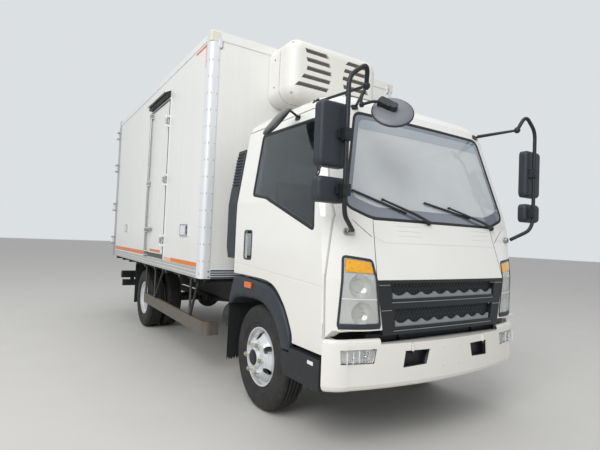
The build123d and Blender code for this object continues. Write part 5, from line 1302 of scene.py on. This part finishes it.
# Bumper: dark pockets behind the tow windows, bright pans and bulbs in the fog lamps, a dark tray under the
# grille, and the tow brackets' sleeves. Windows are (across, height). Columns of the pans: depth, and the
# mouth's share of the window. The skin is met beside the window, at a larger share of it, and the mouth lies
# this far behind. Of the bulbs: shift across, radius of the rim. A sleeve ends this far back from the
# bumper's face, and its lip runs on from there.
TOW_WINDOW, TOW_PAN = [(201, 623), (404, 625), (419, 522), (225, 530)], (42, 1.12)
FOG_WINDOW, FOG_PAN = [(618, 643), (844, 645), (840, 571), (633, 567)], (24, 0.985)
WINDOW_BESIDE, MOUTH_BEHIND = 1.16, 8
FOG_CENTRE_Y, FOG_CENTRE_Z = 734, 606
FOG_BULBS = [(-48, 30), (40, 26)]
FOG_BULB = [(0, 0), (0, 9), (8, 8), (13, 4), (14, 0)]
FOG_RIBS, FOG_RIB_START, FOG_RIB_PITCH, FOG_RIB_LOW = 5, 640, 46, 572
FOG_RIB = Vector((5, 4, 68))
TRAY = [((905, -650, 640), (925, 650, 720)), ((780, -560, 704), (925, 560, 708)),
        ((925, -640, 646), (996, 640, 650))]
SLEEVE_Y, SLEEVE_HALF = 352, 7.5
SLEEVE_REAR, SLEEVE_LOW, SLEEVE_HIGH = 900, 606, 672
SLEEVE_FACE_Z, SLEEVE_BACK, SLEEVE_LIP, SLEEVE_LIP_HIGH = 650, 9, 11, 622


def pocket(corners, depth):
    """A sunk pan behind an opening: its walls run back from the corners to a flat bottom."""
    count = len(corners)
    back = [c - AHEAD * depth * MM for c in corners]
    return corners + back, [tuple(range(count, 2 * count))] + wall(2, count)


def window_pan(skin, side, window, depth, grow):
    """A pan behind a window of the bumper. Its mouth, by this share of the window, is just inside the skin."""
    middle = sum((Vector(c) for c in window), Vector((0, 0))) / 4
    mouth = []
    for corner in window:
        beside = middle + (Vector(corner) - middle) * WINDOW_BESIDE
        edge, _ = on_front(skin, side * beside.x, beside.y)
        y, z = middle + (Vector(corner) - middle) * grow
        mouth.append(Vector((edge.x - MOUTH_BEHIND * MM, side * y * MM, z * MM)))
    return pocket(mouth, depth)


def bumper_trim():
    skin = skin_of("bumper")
    pans, reflectors, bulbs, rims, sleeves = [], [], [], [], []
    for side, _ in SIDES:
        pans.append(window_pan(skin, side, TOW_WINDOW, *TOW_PAN))
        reflectors.append(window_pan(skin, side, FOG_WINDOW, *FOG_PAN))
        bottom = reflectors[-1][0][4].x + 4 * MM
        centre = Vector((bottom, side * FOG_CENTRE_Y * MM, FOG_CENTRE_Z * MM))
        for shift, radius in FOG_BULBS:
            spot = centre + LEFT * side * shift * MM
            bulbs.append(turned(FOG_BULB, spot, AHEAD, 16))
            rim = [(0, radius - 3), (3, radius), (6, radius + 1), (3, radius - 4)]
            rims.append(turned(rim, spot, AHEAD, 24))
        for y in (FOG_RIB_START + FOG_RIB_PITCH * k for k in range(FOG_RIBS)):
            foot = Vector((bottom, side * y * MM, FOG_RIB_LOW * MM))
            reflectors.append(slab(foot, foot + FOG_RIB * MM))
        end = (on_front(skin, side * SLEEVE_Y, SLEEVE_FACE_Z)[0].x - FRONT_AXLE_X) / MM - SLEEVE_BACK
        inner, outer = SLEEVE_Y - side * SLEEVE_HALF, SLEEVE_Y + side * SLEEVE_HALF
        sleeves.append(block((SLEEVE_REAR, inner, SLEEVE_LOW), (end, outer, SLEEVE_HIGH), side))
        sleeves.append(block((end - 2, inner, SLEEVE_LOW - SUNK),
                             (end + SLEEVE_LIP, outer, SLEEVE_LIP_HIGH), side))
    piece("tow_pockets", pans, "black", "chassis", thick=2)
    piece("fog_reflectors", reflectors, "reflector", "chassis", thick=0.8)
    piece("fog_bulbs", bulbs + rims, "chrome", "chassis")
    piece("grille_tray", [block(*corners) for corners in TRAY], "black", "chassis", bevel=2)
    piece("tow_bracket_sleeves", sleeves, "black", "chassis", bevel=2)


# Door edge over the wheel arch: a rubber strip on the skin that turns the cut's corners into one curve.
ARCH_CUT = [(-392, 985), (-109, 985), (229, 966), (403, 853), (508, 700), (533, 620)]
ARCH_CUT_STEPS = 10
ARCH_CUT_CLEAR = 12
ARCH_SEAL_OUT, ARCH_SEAL_IN, ARCH_SEAL_LIFT = 5, 1.5, 1.2


def curved_through(a, b, c, d, t):
    """A point from b to c on the smooth curve that passes through all four."""
    bend = (c - a) * t + (2 * a - 5 * b + 4 * c - d) * t * t + (3 * b - a - 3 * c + d) * t ** 3
    return 0.5 * (2 * b + bend)


def arch_seals():
    knots = [Vector(p) for p in ARCH_CUT]
    knots = [knots[0] * 2 - knots[1]] + knots + [knots[-1] * 2 - knots[-2]]
    for side, name in SIDES:
        skin = skin_of(f"cab_door_{name}")
        corners = []
        for a, b, c, d in zip(knots, knots[1:], knots[2:], knots[3:]):
            off = Vector((c.y - b.y, b.x - c.x)).normalized()
            off = -off if off.y < 0 else off
            for t in (step / ARCH_CUT_STEPS for step in range(ARCH_CUT_STEPS)):
                curve, edge = curved_through(a, b, c, d, t), b.lerp(c, t)
                for spot in (curve + off * ARCH_SEAL_OUT, edge + off * ARCH_SEAL_IN):
                    place, _ = spot_on(skin, spot, off * ARCH_CUT_CLEAR, side)
                    corners.append(place + LEFT * side * ARCH_SEAL_LIFT * MM)
        faces = [(i, i + 1, i + 3, i + 2) for i in range(0, len(corners) - 2, 2)]
        piece(f"arch_edge_seal_{name}", [(corners, faces)], "rubber", f"cab_door_{name}", thick=1.2)


# Side guard legs, painted black above the rail. Columns: station of the leg, station of its brace's top.
GUARD_LEGS = [(-1290, -1090), (-2620, -2300), (-3060, None)]
GUARD_HALF = 25.8
GUARD_IN, GUARD_OUT = 985.2, 996.8
GUARD_TOP = 859
LEG_LOW, TOP_LEG_LOW = 496, 809
BRACE_FOOT, BRACE_LOW, BRACE_TOP = 465, 498, 835
BRACE_Y, BRACE_RADIUS = 991, 12.8


def guard_legs():
    legs = []
    for side, _ in SIDES:
        for station, top in GUARD_LEGS:
            for place, low in ((station, LEG_LOW), (top, TOP_LEG_LOW)):
                if place:
                    legs.append(block((place - GUARD_HALF, GUARD_IN, low),
                                      (place + GUARD_HALF, GUARD_OUT, GUARD_TOP), side))
            if top:
                share = (BRACE_LOW - BRACE_FOOT) / (BRACE_TOP - BRACE_FOOT)
                foot = station + (top - station) * share
                brace = [at(foot, BRACE_Y, BRACE_LOW, side), at(top, BRACE_Y, BRACE_TOP, side)]
                legs.append(tube(brace, BRACE_RADIUS, sides=12))
    piece("guard_leg_paint", legs, "frame", "chassis", bevel=1)


# Box: end caps, marker lamps, rivets and bolts, skirt strips and faces. Columns of the ribs, which are bands
# of the skirts between their grooves: low, high. Of rivets and bolts: radius, rise.
POST_LEG = 97
SKIRT_TOP = 1000
SKIRT_REAR = -4766
SKIRT_HALF = 1012
CAP_LEG, CAP_DROP = 104, 108
CAP_LIFT = 2.5
POST_RIVETS = (24, 78)
RIVET_SIZE, BOLT_SIZE = (5.5, 2.2), (6, 3)
RIVET_PITCH, BOLT_PITCH = 150, 260
FRONT_STRIPS = [925, 945, 965]
FRONT_RIBS = [(906, 920), (930, 940), (950, 960), (970, 984)]
SIDE_RIBS = [(905.5, 931), (939, 963), (971, 999)]
MARKER_PIXELS = ((220.5, 43.5), (387, 90))
TOP_MARKER_LENS, TOP_MARKER_RIM = (38, 88, 12, 18), (50, 100, 5, 24)


def corner_caps():
    caps = []
    for side, _ in SIDES:
        for end, out in ((BOX_FRONT, 1), (BOX_REAR, -1)):
            caps.append(block((end - out * CAP_LEG, EDGE_HALF - CAP_LEG, BOX_TOP - CAP_DROP),
                              (end + out * CAP_LIFT, EDGE_HALF + CAP_LIFT, BOX_TOP - 0.6), side))
    piece("corner_caps", caps, "cap", "chassis", bevel=16, segments=5)


def box_rivets():
    rivets, bolts = [], []
    for side, _ in SIDES:
        outward = Vector((0, side, 0))
        for z in range(SKIRT_TOP + 60, round(BOX_TOP) - 130, RIVET_PITCH):
            for inward in POST_RIVETS:
                rivets.append(rivet(at(BOX_FRONT - inward, EDGE_HALF, z, side), outward, *RIVET_SIZE))
                rivets.append(rivet(at(BOX_FRONT, EDGE_HALF - inward, z, side), AHEAD, *RIVET_SIZE))
        station = BOX_FRONT - 180
        while station > BOX_REAR + 100:
            bolts.append(bolt(at(station, EDGE_HALF, 984, side), outward, *BOLT_SIZE))
            rivets.append(rivet(at(station, EDGE_HALF, BOX_TOP - 76, side), outward, *RIVET_SIZE))
            station -= BOLT_PITCH
        rivets += [rivet(at(BOX_FRONT - 24, EDGE_HALF, z, side), outward, *RIVET_SIZE) for z in (944, 956)]
        bolts += [bolt(at(BOX_FRONT, 1030, z, side), AHEAD, *BOLT_SIZE) for z in (921, 969)]
    piece("box_rivets", rivets, "zinc", "chassis")
    piece("skirt_bolts", bolts, "zinc", "chassis")


def front_band(low, high, depth, lift):
    """A band across the front skirt, from a depth behind its face to a lift before it."""
    return block((BOX_FRONT - depth, -SKIRT_HALF, low), (BOX_FRONT + lift, SKIRT_HALF, high))


def box_skirts():
    post = BOX_FRONT - POST_LEG
    # The bright strips in the front skirt's grooves are painted highlights.
    strips = [front_band(z - 2.2, z + 2.2, 3, 0.9) for z in FRONT_STRIPS]
    piece("front_skirt_strips", strips, "rail", "chassis", bevel=0.4)
    # The ribs between the grooves are dark grey: painted shade.
    ribs = [front_band(low, high, 1, 0.7) for low, high in FRONT_RIBS]
    piece("front_skirt_ribs", ribs, "ribs", "chassis", bevel=0.3)
    faces = [block((SKIRT_REAR, EDGE_HALF - 1, low), (post, EDGE_HALF + 0.8, high), side)
             for side, _ in SIDES for low, high in SIDE_RIBS]
    piece("side_skirt_faces", faces, "skirt", "chassis", bevel=0.3)
    seams = [block((post - 3, PANEL_HALF - 1, SKIRT_TOP), (post, PANEL_HALF + 1.5, BOX_TOP - POST_LEG), side)
             for side, _ in SIDES]
    piece("panel_seams", seams, "grey_rubber", "chassis")


def top_markers():
    spots = [seen_at(*pixel, box_skin) for pixel in MARKER_PIXELS]
    lenses = [plate(*spot, UP, *TOP_MARKER_LENS) for spot in spots]
    piece("top_marker_lenses", lenses, "white_lens", "chassis", bevel=4, segments=3)
    rims = [plate(*spot, UP, *TOP_MARKER_RIM) for spot in spots]
    piece("top_marker_rims", rims, "strip", "chassis", bevel=1.5)


# Reflective tapes. Columns: rear and front station, low, high.
TAPE_RISE = 1.1
SIDE_TAPES = [(-1, (-4734, -2731, 1012, 1063)), (-1, (-1641, -831, 998, 1040)),
              (1, (-4734, -831, 1005, 1056))]
FADED_TAPE = (-1901, -1641, 998, 1036)
DOOR_TAPE = (-2514, -2047, 1071, 1101)
CORNER_TAPES = [(-860, -838, 2813, 3031), (-1125, -838, 3009, 3031)]
REAR_TAPE_STARTS = (190, 560)
REAR_TAPE_LENGTH = 236
LEAF_FACE = 1110


def tape_on(side, face, rear, front, low, high):
    """A tape on a side, laid on the face that stands this far from the truck's middle."""
    return block((rear, face, low), (front, face + TAPE_RISE, high), side)


def box_tapes():
    orange = [tape_on(side, PANEL_HALF, *tape) for side, tape in SIDE_TAPES]
    piece("side_tapes", orange, "tape", "chassis")
    piece("side_tape_faded", [tape_on(-1, PANEL_HALF, *FADED_TAPE)], "pale_orange", "chassis")
    piece("side_door_tape", [tape_on(-1, LEAF_FACE, *DOOR_TAPE)], "tape", "side_door")
    red = [tape_on(side, PANEL_HALF, *tape) for side, _ in SIDES for tape in CORNER_TAPES]
    piece("corner_tapes", red, "red_tape", "chassis")
    for side, name in SIDES:
        forms = [block((BOX_REAR - TAPE_RISE, y, 1016), (BOX_REAR, y + REAR_TAPE_LENGTH, 1062), side)
                 for y in REAR_TAPE_STARTS]
        piece(f"rear_door_tape_{name}", forms, "tape", f"rear_door_{name}")


# Side door: its gasket, the drip box under the hood and the hood's lip, the kick strip, and plated hardware. The
# drip box is black partly to stand for the shadow under the hood: painted shadow.
# The door is on the right, where places across are negative. Columns of the keepers' blocks: half width,
# half height, face.
GASKET = [((-1948, 1000), (-1930, 2796)), ((-2692, 2784), (-1930, 2798)), ((-2706, 1000), (-2692, 2796))]
GASKET_Y = -1112
DRIP_REAR, DRIP_FRONT, DRIP_LOW, DRIP_HIGH, DRIP_Y = -2715, -1946, 2822, 2872, -1150
DRIP_RIBS, DRIP_RIB_PITCH = 13, 64
HOOD_LIP = [(-2719, -1174, 2862), (-2330, -1174, 2862), (-1942, -1174, 2862)]
LIP_SECTION = [(-5, -4), (-5, 0), (5, 0), (5, -4)]
LEAF_FRONT = -1950
PLATE_Y = -1109
ROD_STATION = -2640
ROD_Y = -1136
ROD_MIDDLE, ROD_HALF = 1895.5, 892
KEEPERS = [1050, 1332, 1900, 2741]
KEEPER_FACE = -1114
KEEPER_BLOCKS = [(30, 20, -1149.5), (34, 34, KEEPER_FACE)]
KEEPER_BOLT, HINGE_BOLT = (5, 3), (5.5, 3.5)
HANDLE_Z = 1334
HANDLE_Y = -1145
HANDLE_BOSS = [(-1, 0), (-1, 19), (10, 19), (14, 14), (14, 0)]
HANDLE_LOCK = [(-1, 0), (-1, 12), (6, 11), (8, 0)]
SIDE_HINGES = [1214, 1887, 2545]
HINGE_FACE, HINGE_Y = -1120, -1140
HINGE_BARREL = [(-31, 0), (-31, 12.5), (31, 12.5), (31, 0)]


def rod(middle, half, radius):
    """An upright lock rod with softened ends."""
    profile = [(-half, 0), (-half, 12), (2 - half, radius), (half - 2, radius), (half, 12), (half, 0)]
    return turned(profile, middle, UP, 16)


def side_door_seals():
    gasket = [block((rear, -PANEL_HALF, low), (front, GASKET_Y, high))
              for (rear, low), (front, high) in GASKET]
    piece("side_door_gasket", gasket, "rubber", "chassis", bevel=2)
    # The black drip box with its clips is partly a real part and partly the painted shadow under the hood.
    drip = [block((DRIP_REAR, -PANEL_HALF, DRIP_LOW), (DRIP_FRONT, DRIP_Y, DRIP_HIGH))]
    for rear in (DRIP_REAR - 4 + k * DRIP_RIB_PITCH for k in range(DRIP_RIBS)):
        drip.append(block((rear, DRIP_Y, DRIP_LOW + 4), (rear + 6, DRIP_Y - 3, DRIP_HIGH - 4)))
    piece("drip_box", drip, "black", "chassis", bevel=4)
    lip = swept([at(*point) for point in HOOD_LIP], [-LEFT] * len(HOOD_LIP), LIP_SECTION)
    piece("hood_lip", [lip], "aluminium", "chassis", bevel=1)
    strip = block((-2680, -LEAF_FACE, 1012), (-1958, -LEAF_FACE - 2.5, 1058))
    piece("side_door_kick_strip", [strip], "grey_rubber", "side_door", bevel=1.5)


def side_door_hardware():
    hardware = [rod(at(ROD_STATION, ROD_Y, ROD_MIDDLE), ROD_HALF, 13.6)]
    for z in KEEPERS:
        for half_wide, half_high, face in KEEPER_BLOCKS:
            hardware.append(block((ROD_STATION - half_wide, face, z - half_high),
                                  (ROD_STATION + half_wide, PLATE_Y, z + half_high)))
        keeper = at(ROD_STATION, KEEPER_FACE, z)
        hardware += bolt_grid(keeper, -LEFT, (UP * 27, -UP * 27), (-AHEAD * 24, AHEAD * 24), KEEPER_BOLT)
    hardware.append(block((ROD_STATION, HANDLE_Y - SUNK, 1320), (ROD_STATION + 214, -1130, 1348)))
    hardware.append(turned(HANDLE_BOSS, at(ROD_STATION + 20, HANDLE_Y, HANDLE_Z), -LEFT, 20))
    hardware.append(block((ROD_STATION + 150, -1131, 1314), (ROD_STATION + 186, PLATE_Y, 1354)))
    hardware.append(turned(HANDLE_LOCK, at(ROD_STATION + 168, HANDLE_Y, HANDLE_Z), -LEFT, 16))
    for z in SIDE_HINGES:
        hardware.append(block((LEAF_FRONT - 92, HINGE_FACE, z - 32), (LEAF_FRONT - 1, PLATE_Y, z + 32)))
        along = [AHEAD * shift for shift in (-72, -46, -24)]
        hardware += bolt_grid(at(LEAF_FRONT, HINGE_FACE, z), -LEFT, along, (-UP * 18, UP * 18), HINGE_BOLT)
        hardware.append(turned(HINGE_BARREL, at(LEAF_FRONT, HINGE_Y, z), UP, 16))
    piece("side_door_hardware", hardware, "zinc", "side_door", bevel=1.5)


# Hold-back catches on the right side: frame, pan, knob and screws. Columns: front, rear, low, high.
HOLD_BACKS = [(-1104, -1349, 1274, 1389), (-3827, -4009, 1291, 1403)]
HOLD_BACK_FACE = -PANEL_HALF - 12
HOLD_BACK_KNOB = [(0, 0), (0, 9), (8, 9), (8, 16), (12, 16), (13, 0)]
PAN_EDGE = 14


def hold_backs():
    frames, pans = [], []
    for front, rear, low, high in HOLD_BACKS:
        outline = rounded([(front, low), (front, high), (rear, high), (rear, low)], 12, 3)
        path = [at(p.x, HOLD_BACK_FACE, p.y) for p in outline]
        middle = sum(path, Vector()) / len(path)
        path = [middle + (p - middle) * 0.93 for p in path]
        frames.append(swept(path, [-LEFT] * len(path), band(9, 2.5), closed=True))
        recess = (front * 2 + rear) / 3
        pans.append(block((recess, -PANEL_HALF, low + PAN_EDGE),
                          (front - PAN_EDGE, -PANEL_HALF - 3.8, high - PAN_EDGE)))
        knob = at((recess + front - PAN_EDGE) / 2, -PANEL_HALF - 3, (low + high) / 2)
        frames.append(turned(HOLD_BACK_KNOB, knob, -LEFT, 16))
        for share in (0.12, 0.5):
            for z in (low + 12, high - 12):
                frames.append(bolt(at(rear + (front - rear) * share, HOLD_BACK_FACE, z), -LEFT, 5, 2.5))
    piece("hold_back_trim", frames, "zinc", "chassis")
    piece("hold_back_pans", pans, "black", "chassis")


# Rear doors: lock rods with their keepers and handles, hinges, and gaskets.
REAR_HINGES = [1150, 1700, 2350, 2900]
REAR_KEEPERS = [1025, 1320, 2000, 3010]
REAR_ROD_IN = 25
REAR_ROD_Y = 150
REAR_ROD_MIDDLE, REAR_ROD_HALF = 2017.5, 1048
HINGE_BOLTS = (935, 970, 1005, 1040)
REAR_INNER, REAR_OUTER, REAR_LOW, REAR_HIGH = 7, 1062, 983, 3053
# Columns: inner and outer edge, low, high.
REAR_GASKET = [(REAR_INNER, REAR_OUTER, REAR_LOW, REAR_LOW + 12),
               (REAR_INNER, REAR_OUTER, REAR_HIGH - 12, REAR_HIGH),
               (REAR_INNER, REAR_INNER + 16, REAR_LOW, REAR_HIGH),
               (REAR_OUTER - 12, REAR_OUTER, REAR_LOW, REAR_HIGH)]


def rear_trim():
    stand, face = BOX_REAR - REAR_ROD_IN, BOX_REAR + 0.5
    for side, name in SIDES:
        hardware = [rod(at(stand + 0.3, REAR_ROD_Y, REAR_ROD_MIDDLE, side), REAR_ROD_HALF, 13.3)]
        for z in REAR_KEEPERS:
            for rear, half_wide, half_high in ((stand - 13, 29, 20), (BOX_REAR - 4, 36, 36)):
                hardware.append(block((rear, REAR_ROD_Y - side * half_wide, z - half_high),
                                      (face, REAR_ROD_Y + side * half_wide, z + half_high), side))
            keeper = at(BOX_REAR - 4, REAR_ROD_Y, z, side)
            hardware += bolt_grid(keeper, -AHEAD, (-LEFT * 27, LEFT * 27), (-UP * 28, UP * 28), KEEPER_BOLT)
        hardware.append(block((stand - 7.5, REAR_ROD_Y, 1306), (stand + 7.5, 454, 1334), side))
        hardware.append(block((stand - 2, 390, 1300), (face, 430, 1340), side))
        for z in REAR_HINGES:
            hardware.append(block((BOX_REAR - 9.5, 912, z - 30), (face, 1066, z + 30), side))
            across = [LEFT * side * y for y in HINGE_BOLTS]
            hardware += bolt_grid(at(BOX_REAR - 9, 0, z), -AHEAD, across, (-UP * 16, UP * 16), HINGE_BOLT)
        piece(f"rear_door_hardware_{name}", hardware, "zinc", f"rear_door_{name}", bevel=1.5)
        gasket = [block((BOX_REAR - 1.5, inner, low), (BOX_REAR + 1, outer, high), side)
                  for inner, outer, low, high in REAR_GASKET]
        piece(f"rear_door_gasket_{name}", gasket, "rubber", f"rear_door_{name}", bevel=0.8)


# Tail lamps: a black frame round red, amber and clear lenses. Columns: the lens's name, inner and outer edge,
# finish.
TAIL_LENSES = [("stop", 642, 760, "red"), ("turn", 766, 858, "amber"), ("clear", 864, 958, "white_lens")]
TAIL_FRAME = four_corners(637, 963, 532, 638)
TAIL_LOW, TAIL_HIGH = 537, 633


def tail_trim():
    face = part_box("tail_lamps")[0].x
    frames = []
    for side, _ in SIDES:
        path = [Vector((face, side * p.x * MM, p.y * MM)) for p in rounded(TAIL_FRAME, 14, 3)]
        frames.append(swept(path, [-AHEAD] * len(path), band(10, 8), closed=True))
    piece("tail_lamp_frames", frames, "black", "chassis")
    for name, inner, outer, finish in TAIL_LENSES:
        lenses = [slab((face - 6 * MM, side * inner * MM, TAIL_LOW * MM),
                       (face + 2 * MM, side * outer * MM, TAIL_HIGH * MM)) for side, _ in SIDES]
        piece(f"tail_lamp_{name}_lenses", lenses, finish, "chassis", bevel=3, segments=3)


# Cooling unit: blades in its slots, the seam round its housing, and its screws. Columns of the slots: height,
# outer edge above and below, inner edge above and below.
UNIT_SLOTS = [(2999, 372, 356, 130, 92), (2921, 356, 343, 92, 74), (2843, 340, 348, 70, 62),
              (2763, 372, 400, 72, 82), (2683, 424, 458, 92, 112)]
SLOT_HALF = 20
SLOT_BLADES = (-11, 1, 13)
UNIT_FRONT = -330
UNIT_SEAM_IN = 200
UNIT_CORNER = 125
UNIT_SCREW = [(-SUNK, 0), (-SUNK, 13), (2, 12), (2.5, 8), (-0.2, 7), (-0.2, 0)]


def unit_slots():
    bottoms, blades = [], []
    for z, outer_high, outer_low, inner_high, inner_low in UNIT_SLOTS:
        for side, _ in SIDES:
            outline = [(outer_high, z + SLOT_HALF), (inner_high, z + SLOT_HALF),
                       (inner_low, z - SLOT_HALF), (outer_low, z - SLOT_HALF)]
            corners = [at(UNIT_FRONT - 40, *spot, side) for spot in outline]
            corners += [corner - AHEAD * 4 * MM for corner in corners]
            bottoms.append((corners, both_ends(2, 4) + wall(2, 4)))
            for dz in SLOT_BLADES:
                t = (dz + SLOT_HALF) / (2 * SLOT_HALF)
                outer = outer_low + (outer_high - outer_low) * t - 3
                inner = inner_low + (inner_high - inner_low) * t + 3
                blades.append(block((UNIT_FRONT - 38, inner, z + dz - 1.5),
                                    (UNIT_FRONT - 12, outer, z + dz + 1.5), side))
    piece("unit_slot_bottoms", bottoms, "slot", "chassis")
    piece("unit_slot_blades", blades, "slot", "chassis", bevel=0.6)


def unit_trim():
    housing = skin_of("cooling_unit")
    low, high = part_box("cooling_unit")
    centre = Vector((high.x - UNIT_SEAM_IN * MM, 0, (low.z + high.z) / 2))
    outline = four_corners(-high.y / MM, high.y / MM, low.z / MM, high.z / MM)
    laid = []
    for p in filled_in(rounded(outline, UNIT_CORNER, 10), 60):
        aim = (centre - Vector((centre.x, p.x * MM, p.y * MM))).normalized()
        laid.append(met(housing, centre - aim * 1.2, aim))
    piece("unit_seam", [swept(*zip(*laid), band(5, 0.5), closed=True)], "grey_rubber", "chassis")
    screws = []
    for side, _ in SIDES:
        screws += [turned(UNIT_SCREW, *on_front(housing, side * 470, z), 16) for z in (2600, 3060)]
        screws += [bolt(*met(housing, at(-620, 900, z, side), LEFT * -side), 7) for z in (2700, 2960)]
    piece("unit_screws", screws, "zinc", "chassis")


# Seats: each has a crowned cushion and back in woven cloth, with sewn channels and pulled-in sides. Columns:
# middle across, width, name.
SEAT_PLACES = [(440, 480, "driver"), (-20, 320, "middle"), (-440, 480, "passenger")]
SEAT_GAP = 8
CUSHION_MIDDLE = (118, 1148)
CUSHION_LEAN = 0.06
CUSHION_HALF, CUSHION_THICK = 212, 58
BACK_LOW, BACK_HIGH = (-128, 1200), (-252, 1790)
BACK_IN = 30
BACK_HALF, BACK_THICK = 292, 52
PAD_QUADS = 26
CHANNELS = 4
CHANNEL_SPREAD = 1.24
CHANNEL_WIDTH = 0.055
SIDE_SEAM, SIDE_SEAM_WIDTH = 0.74, 0.05


def pad_depth(u, v, front):
    """A pad's half thickness, as a share of its most: full in the middle and thin at its edge seam. Its front
    has sewn channels across it and a seam near each side."""
    deep = 0.16 + 0.84 * (1 - abs(u) ** 3.2) ** 0.42 * (1 - abs(v) ** 3.2) ** 0.42
    if front and max(abs(u), abs(v)) < 0.98:
        for k in range(CHANNELS):
            line = CHANNEL_SPREAD * (k / (CHANNELS - 1) - 0.5)
            deep -= 0.24 * math.exp(-((v - line) / CHANNEL_WIDTH) ** 2) * (1 - abs(u) ** 8)
        deep -= 0.2 * math.exp(-((abs(u) - SIDE_SEAM) / SIDE_SEAM_WIDTH) ** 2) * (1 - abs(v) ** 8)
    return deep


def pad(centre, right, up, out, half_width, half_height, half_depth):
    """A closed crowned pad with drawn-in sides and rounded corners, in millimetres."""
    shares = [step / PAD_QUADS * 2 - 1 for step in range(PAD_QUADS + 1)]
    corners = []
    for face in (1, -1):
        for v in shares:
            for u in shares:
                pull = 1 - 0.035 * (1 - abs(v) ** 2) * abs(u) ** 4 - 0.035 * (1 - abs(u) ** 2) * abs(v) ** 4
                pull *= 1 - 0.09 * abs(u * v) ** 4
                flat = right * u * half_width * pull + up * v * half_height * pull
                corners.append(centre + (flat + out * face * half_depth * pad_depth(u, v, face > 0)) * MM)
    faces = sheet_faces(PAD_QUADS, PAD_QUADS, turned_over=True)
    faces += sheet_faces(PAD_QUADS, PAD_QUADS, (PAD_QUADS + 1) ** 2)
    return corners, faces + rim_faces(PAD_QUADS, PAD_QUADS)


def seats():
    lean = (at(BACK_HIGH[0], 0, BACK_HIGH[1]) - at(BACK_LOW[0], 0, BACK_LOW[1])).normalized()
    ahead, up = Vector((1, 0, CUSHION_LEAN)).normalized(), Vector((-CUSHION_LEAN, 0, 1)).normalized()
    station, height = (BACK_LOW[0] + BACK_HIGH[0]) / 2 - BACK_IN, (BACK_LOW[1] + BACK_HIGH[1]) / 2
    bases = []
    for y, width, name in SEAT_PLACES:
        half = width / 2 - SEAT_GAP
        middle = at(CUSHION_MIDDLE[0], y, CUSHION_MIDDLE[1])
        cushion = pad(middle, LEFT, ahead, up, half, CUSHION_HALF, CUSHION_THICK)
        back = pad(at(station, y, height), LEFT, lean, LEFT.cross(lean), half, BACK_HALF, BACK_THICK)
        for kind, form in (("cushion", cushion), ("back", back)):
            made = piece(f"seat_{kind}_{name}", [form], "cloth", "cab", smooth=180, rounder=1)
            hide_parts("seats")
        bases.append(block((-110, y - half + 30, 1076), (300, y + half - 30, 1100)))
    base = piece("seat_bases", bases, "black", "cab", bevel=8, segments=3)
    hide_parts("seats")


bumper_trim()
arch_seals()
guard_legs()
corner_caps()
box_rivets()
box_skirts()
top_markers()
box_tapes()
side_door_seals()
side_door_hardware()
hold_backs()
rear_trim()
tail_trim()
unit_slots()
unit_trim()
seats()


# Studio: the floor, the sky and the lamps, in metres.
FLOOR_HALF = 60.0


def floor_paint():
    """Smooth painted concrete, a little cloudy."""
    material, tree, place = started("pale_floor")
    cloud = add(tree, "ShaderNodeTexNoise", {"Vector": place, "Scale": per(400)})
    return finished(material, tree, {
        "Base Color": add(tree, "ShaderNodeMix", {0: cloud, 6: "#C9C7C2", 7: "#CFCDC9"}, out=2, data_type="RGBA"),
        "Roughness": 0.7})


def lay_floor():
    """A floor that reaches past the view on all sides."""
    mesh = bpy.data.meshes.new("floor")
    corners = [(x, y, 0) for x, y in four_corners(-FLOOR_HALF, FLOOR_HALF, -FLOOR_HALF, FLOOR_HALF)]
    mesh.from_pydata(corners, [], [(0, 1, 2, 3)])
    floor = bpy.data.objects.new("floor", mesh)
    floor.data.materials.append(floor_paint())
    bpy.context.scene.collection.objects.link(floor)


def area_lamp(name, place, target, size, power):
    """A soft lamp at a place, aimed at a target, its size in metres and its power in watts."""
    lamp = bpy.data.lights.new(name, "AREA")
    lamp.shape = "RECTANGLE"
    lamp.size, lamp.size_y = size
    lamp.energy = power
    holder = bpy.data.objects.new(name, lamp)
    holder.location = place
    holder.rotation_euler = (Vector(target) - Vector(place)).to_track_quat("-Z", "Y").to_euler()
    bpy.context.scene.collection.objects.link(holder)


def light_studio():
    """A pale sky, shown paler than it lights, and two softboxes."""
    world = bpy.data.worlds.new("studio")
    bpy.context.scene.world = world
    world.use_nodes = True
    tree = world.node_tree
    tree.nodes.clear()
    ray = tree.nodes.new("ShaderNodeLightPath").outputs
    seen = add(tree, "ShaderNodeMath", {0: ray["Is Camera Ray"], 1: ray["Is Glossy Ray"]}, operation="MAXIMUM")
    seen = add(tree, "ShaderNodeMath", {0: seen, 1: ray["Is Transmission Ray"]}, operation="MAXIMUM")
    lit = add(tree, "ShaderNodeBackground", {"Color": "#F2F5F8", "Strength": 0.62})
    shown = add(tree, "ShaderNodeBackground", {"Color": "#DCE0E3", "Strength": 1.0})
    sky = add(tree, "ShaderNodeMixShader", {0: seen, 1: lit, 2: shown})
    add(tree, "ShaderNodeOutputWorld", {"Surface": sky})
    area_lamp("key_softbox", (7.0, -8.0, 8.5), (0.5, 0, 1.4), (7, 7), 900)
    area_lamp("top_softbox", (0.0, 0.0, 10.0), (0, 0, 0), (10, 6), 190)


lay_floor()
light_studio()
bpy.context.scene.view_settings.view_transform = "Standard"
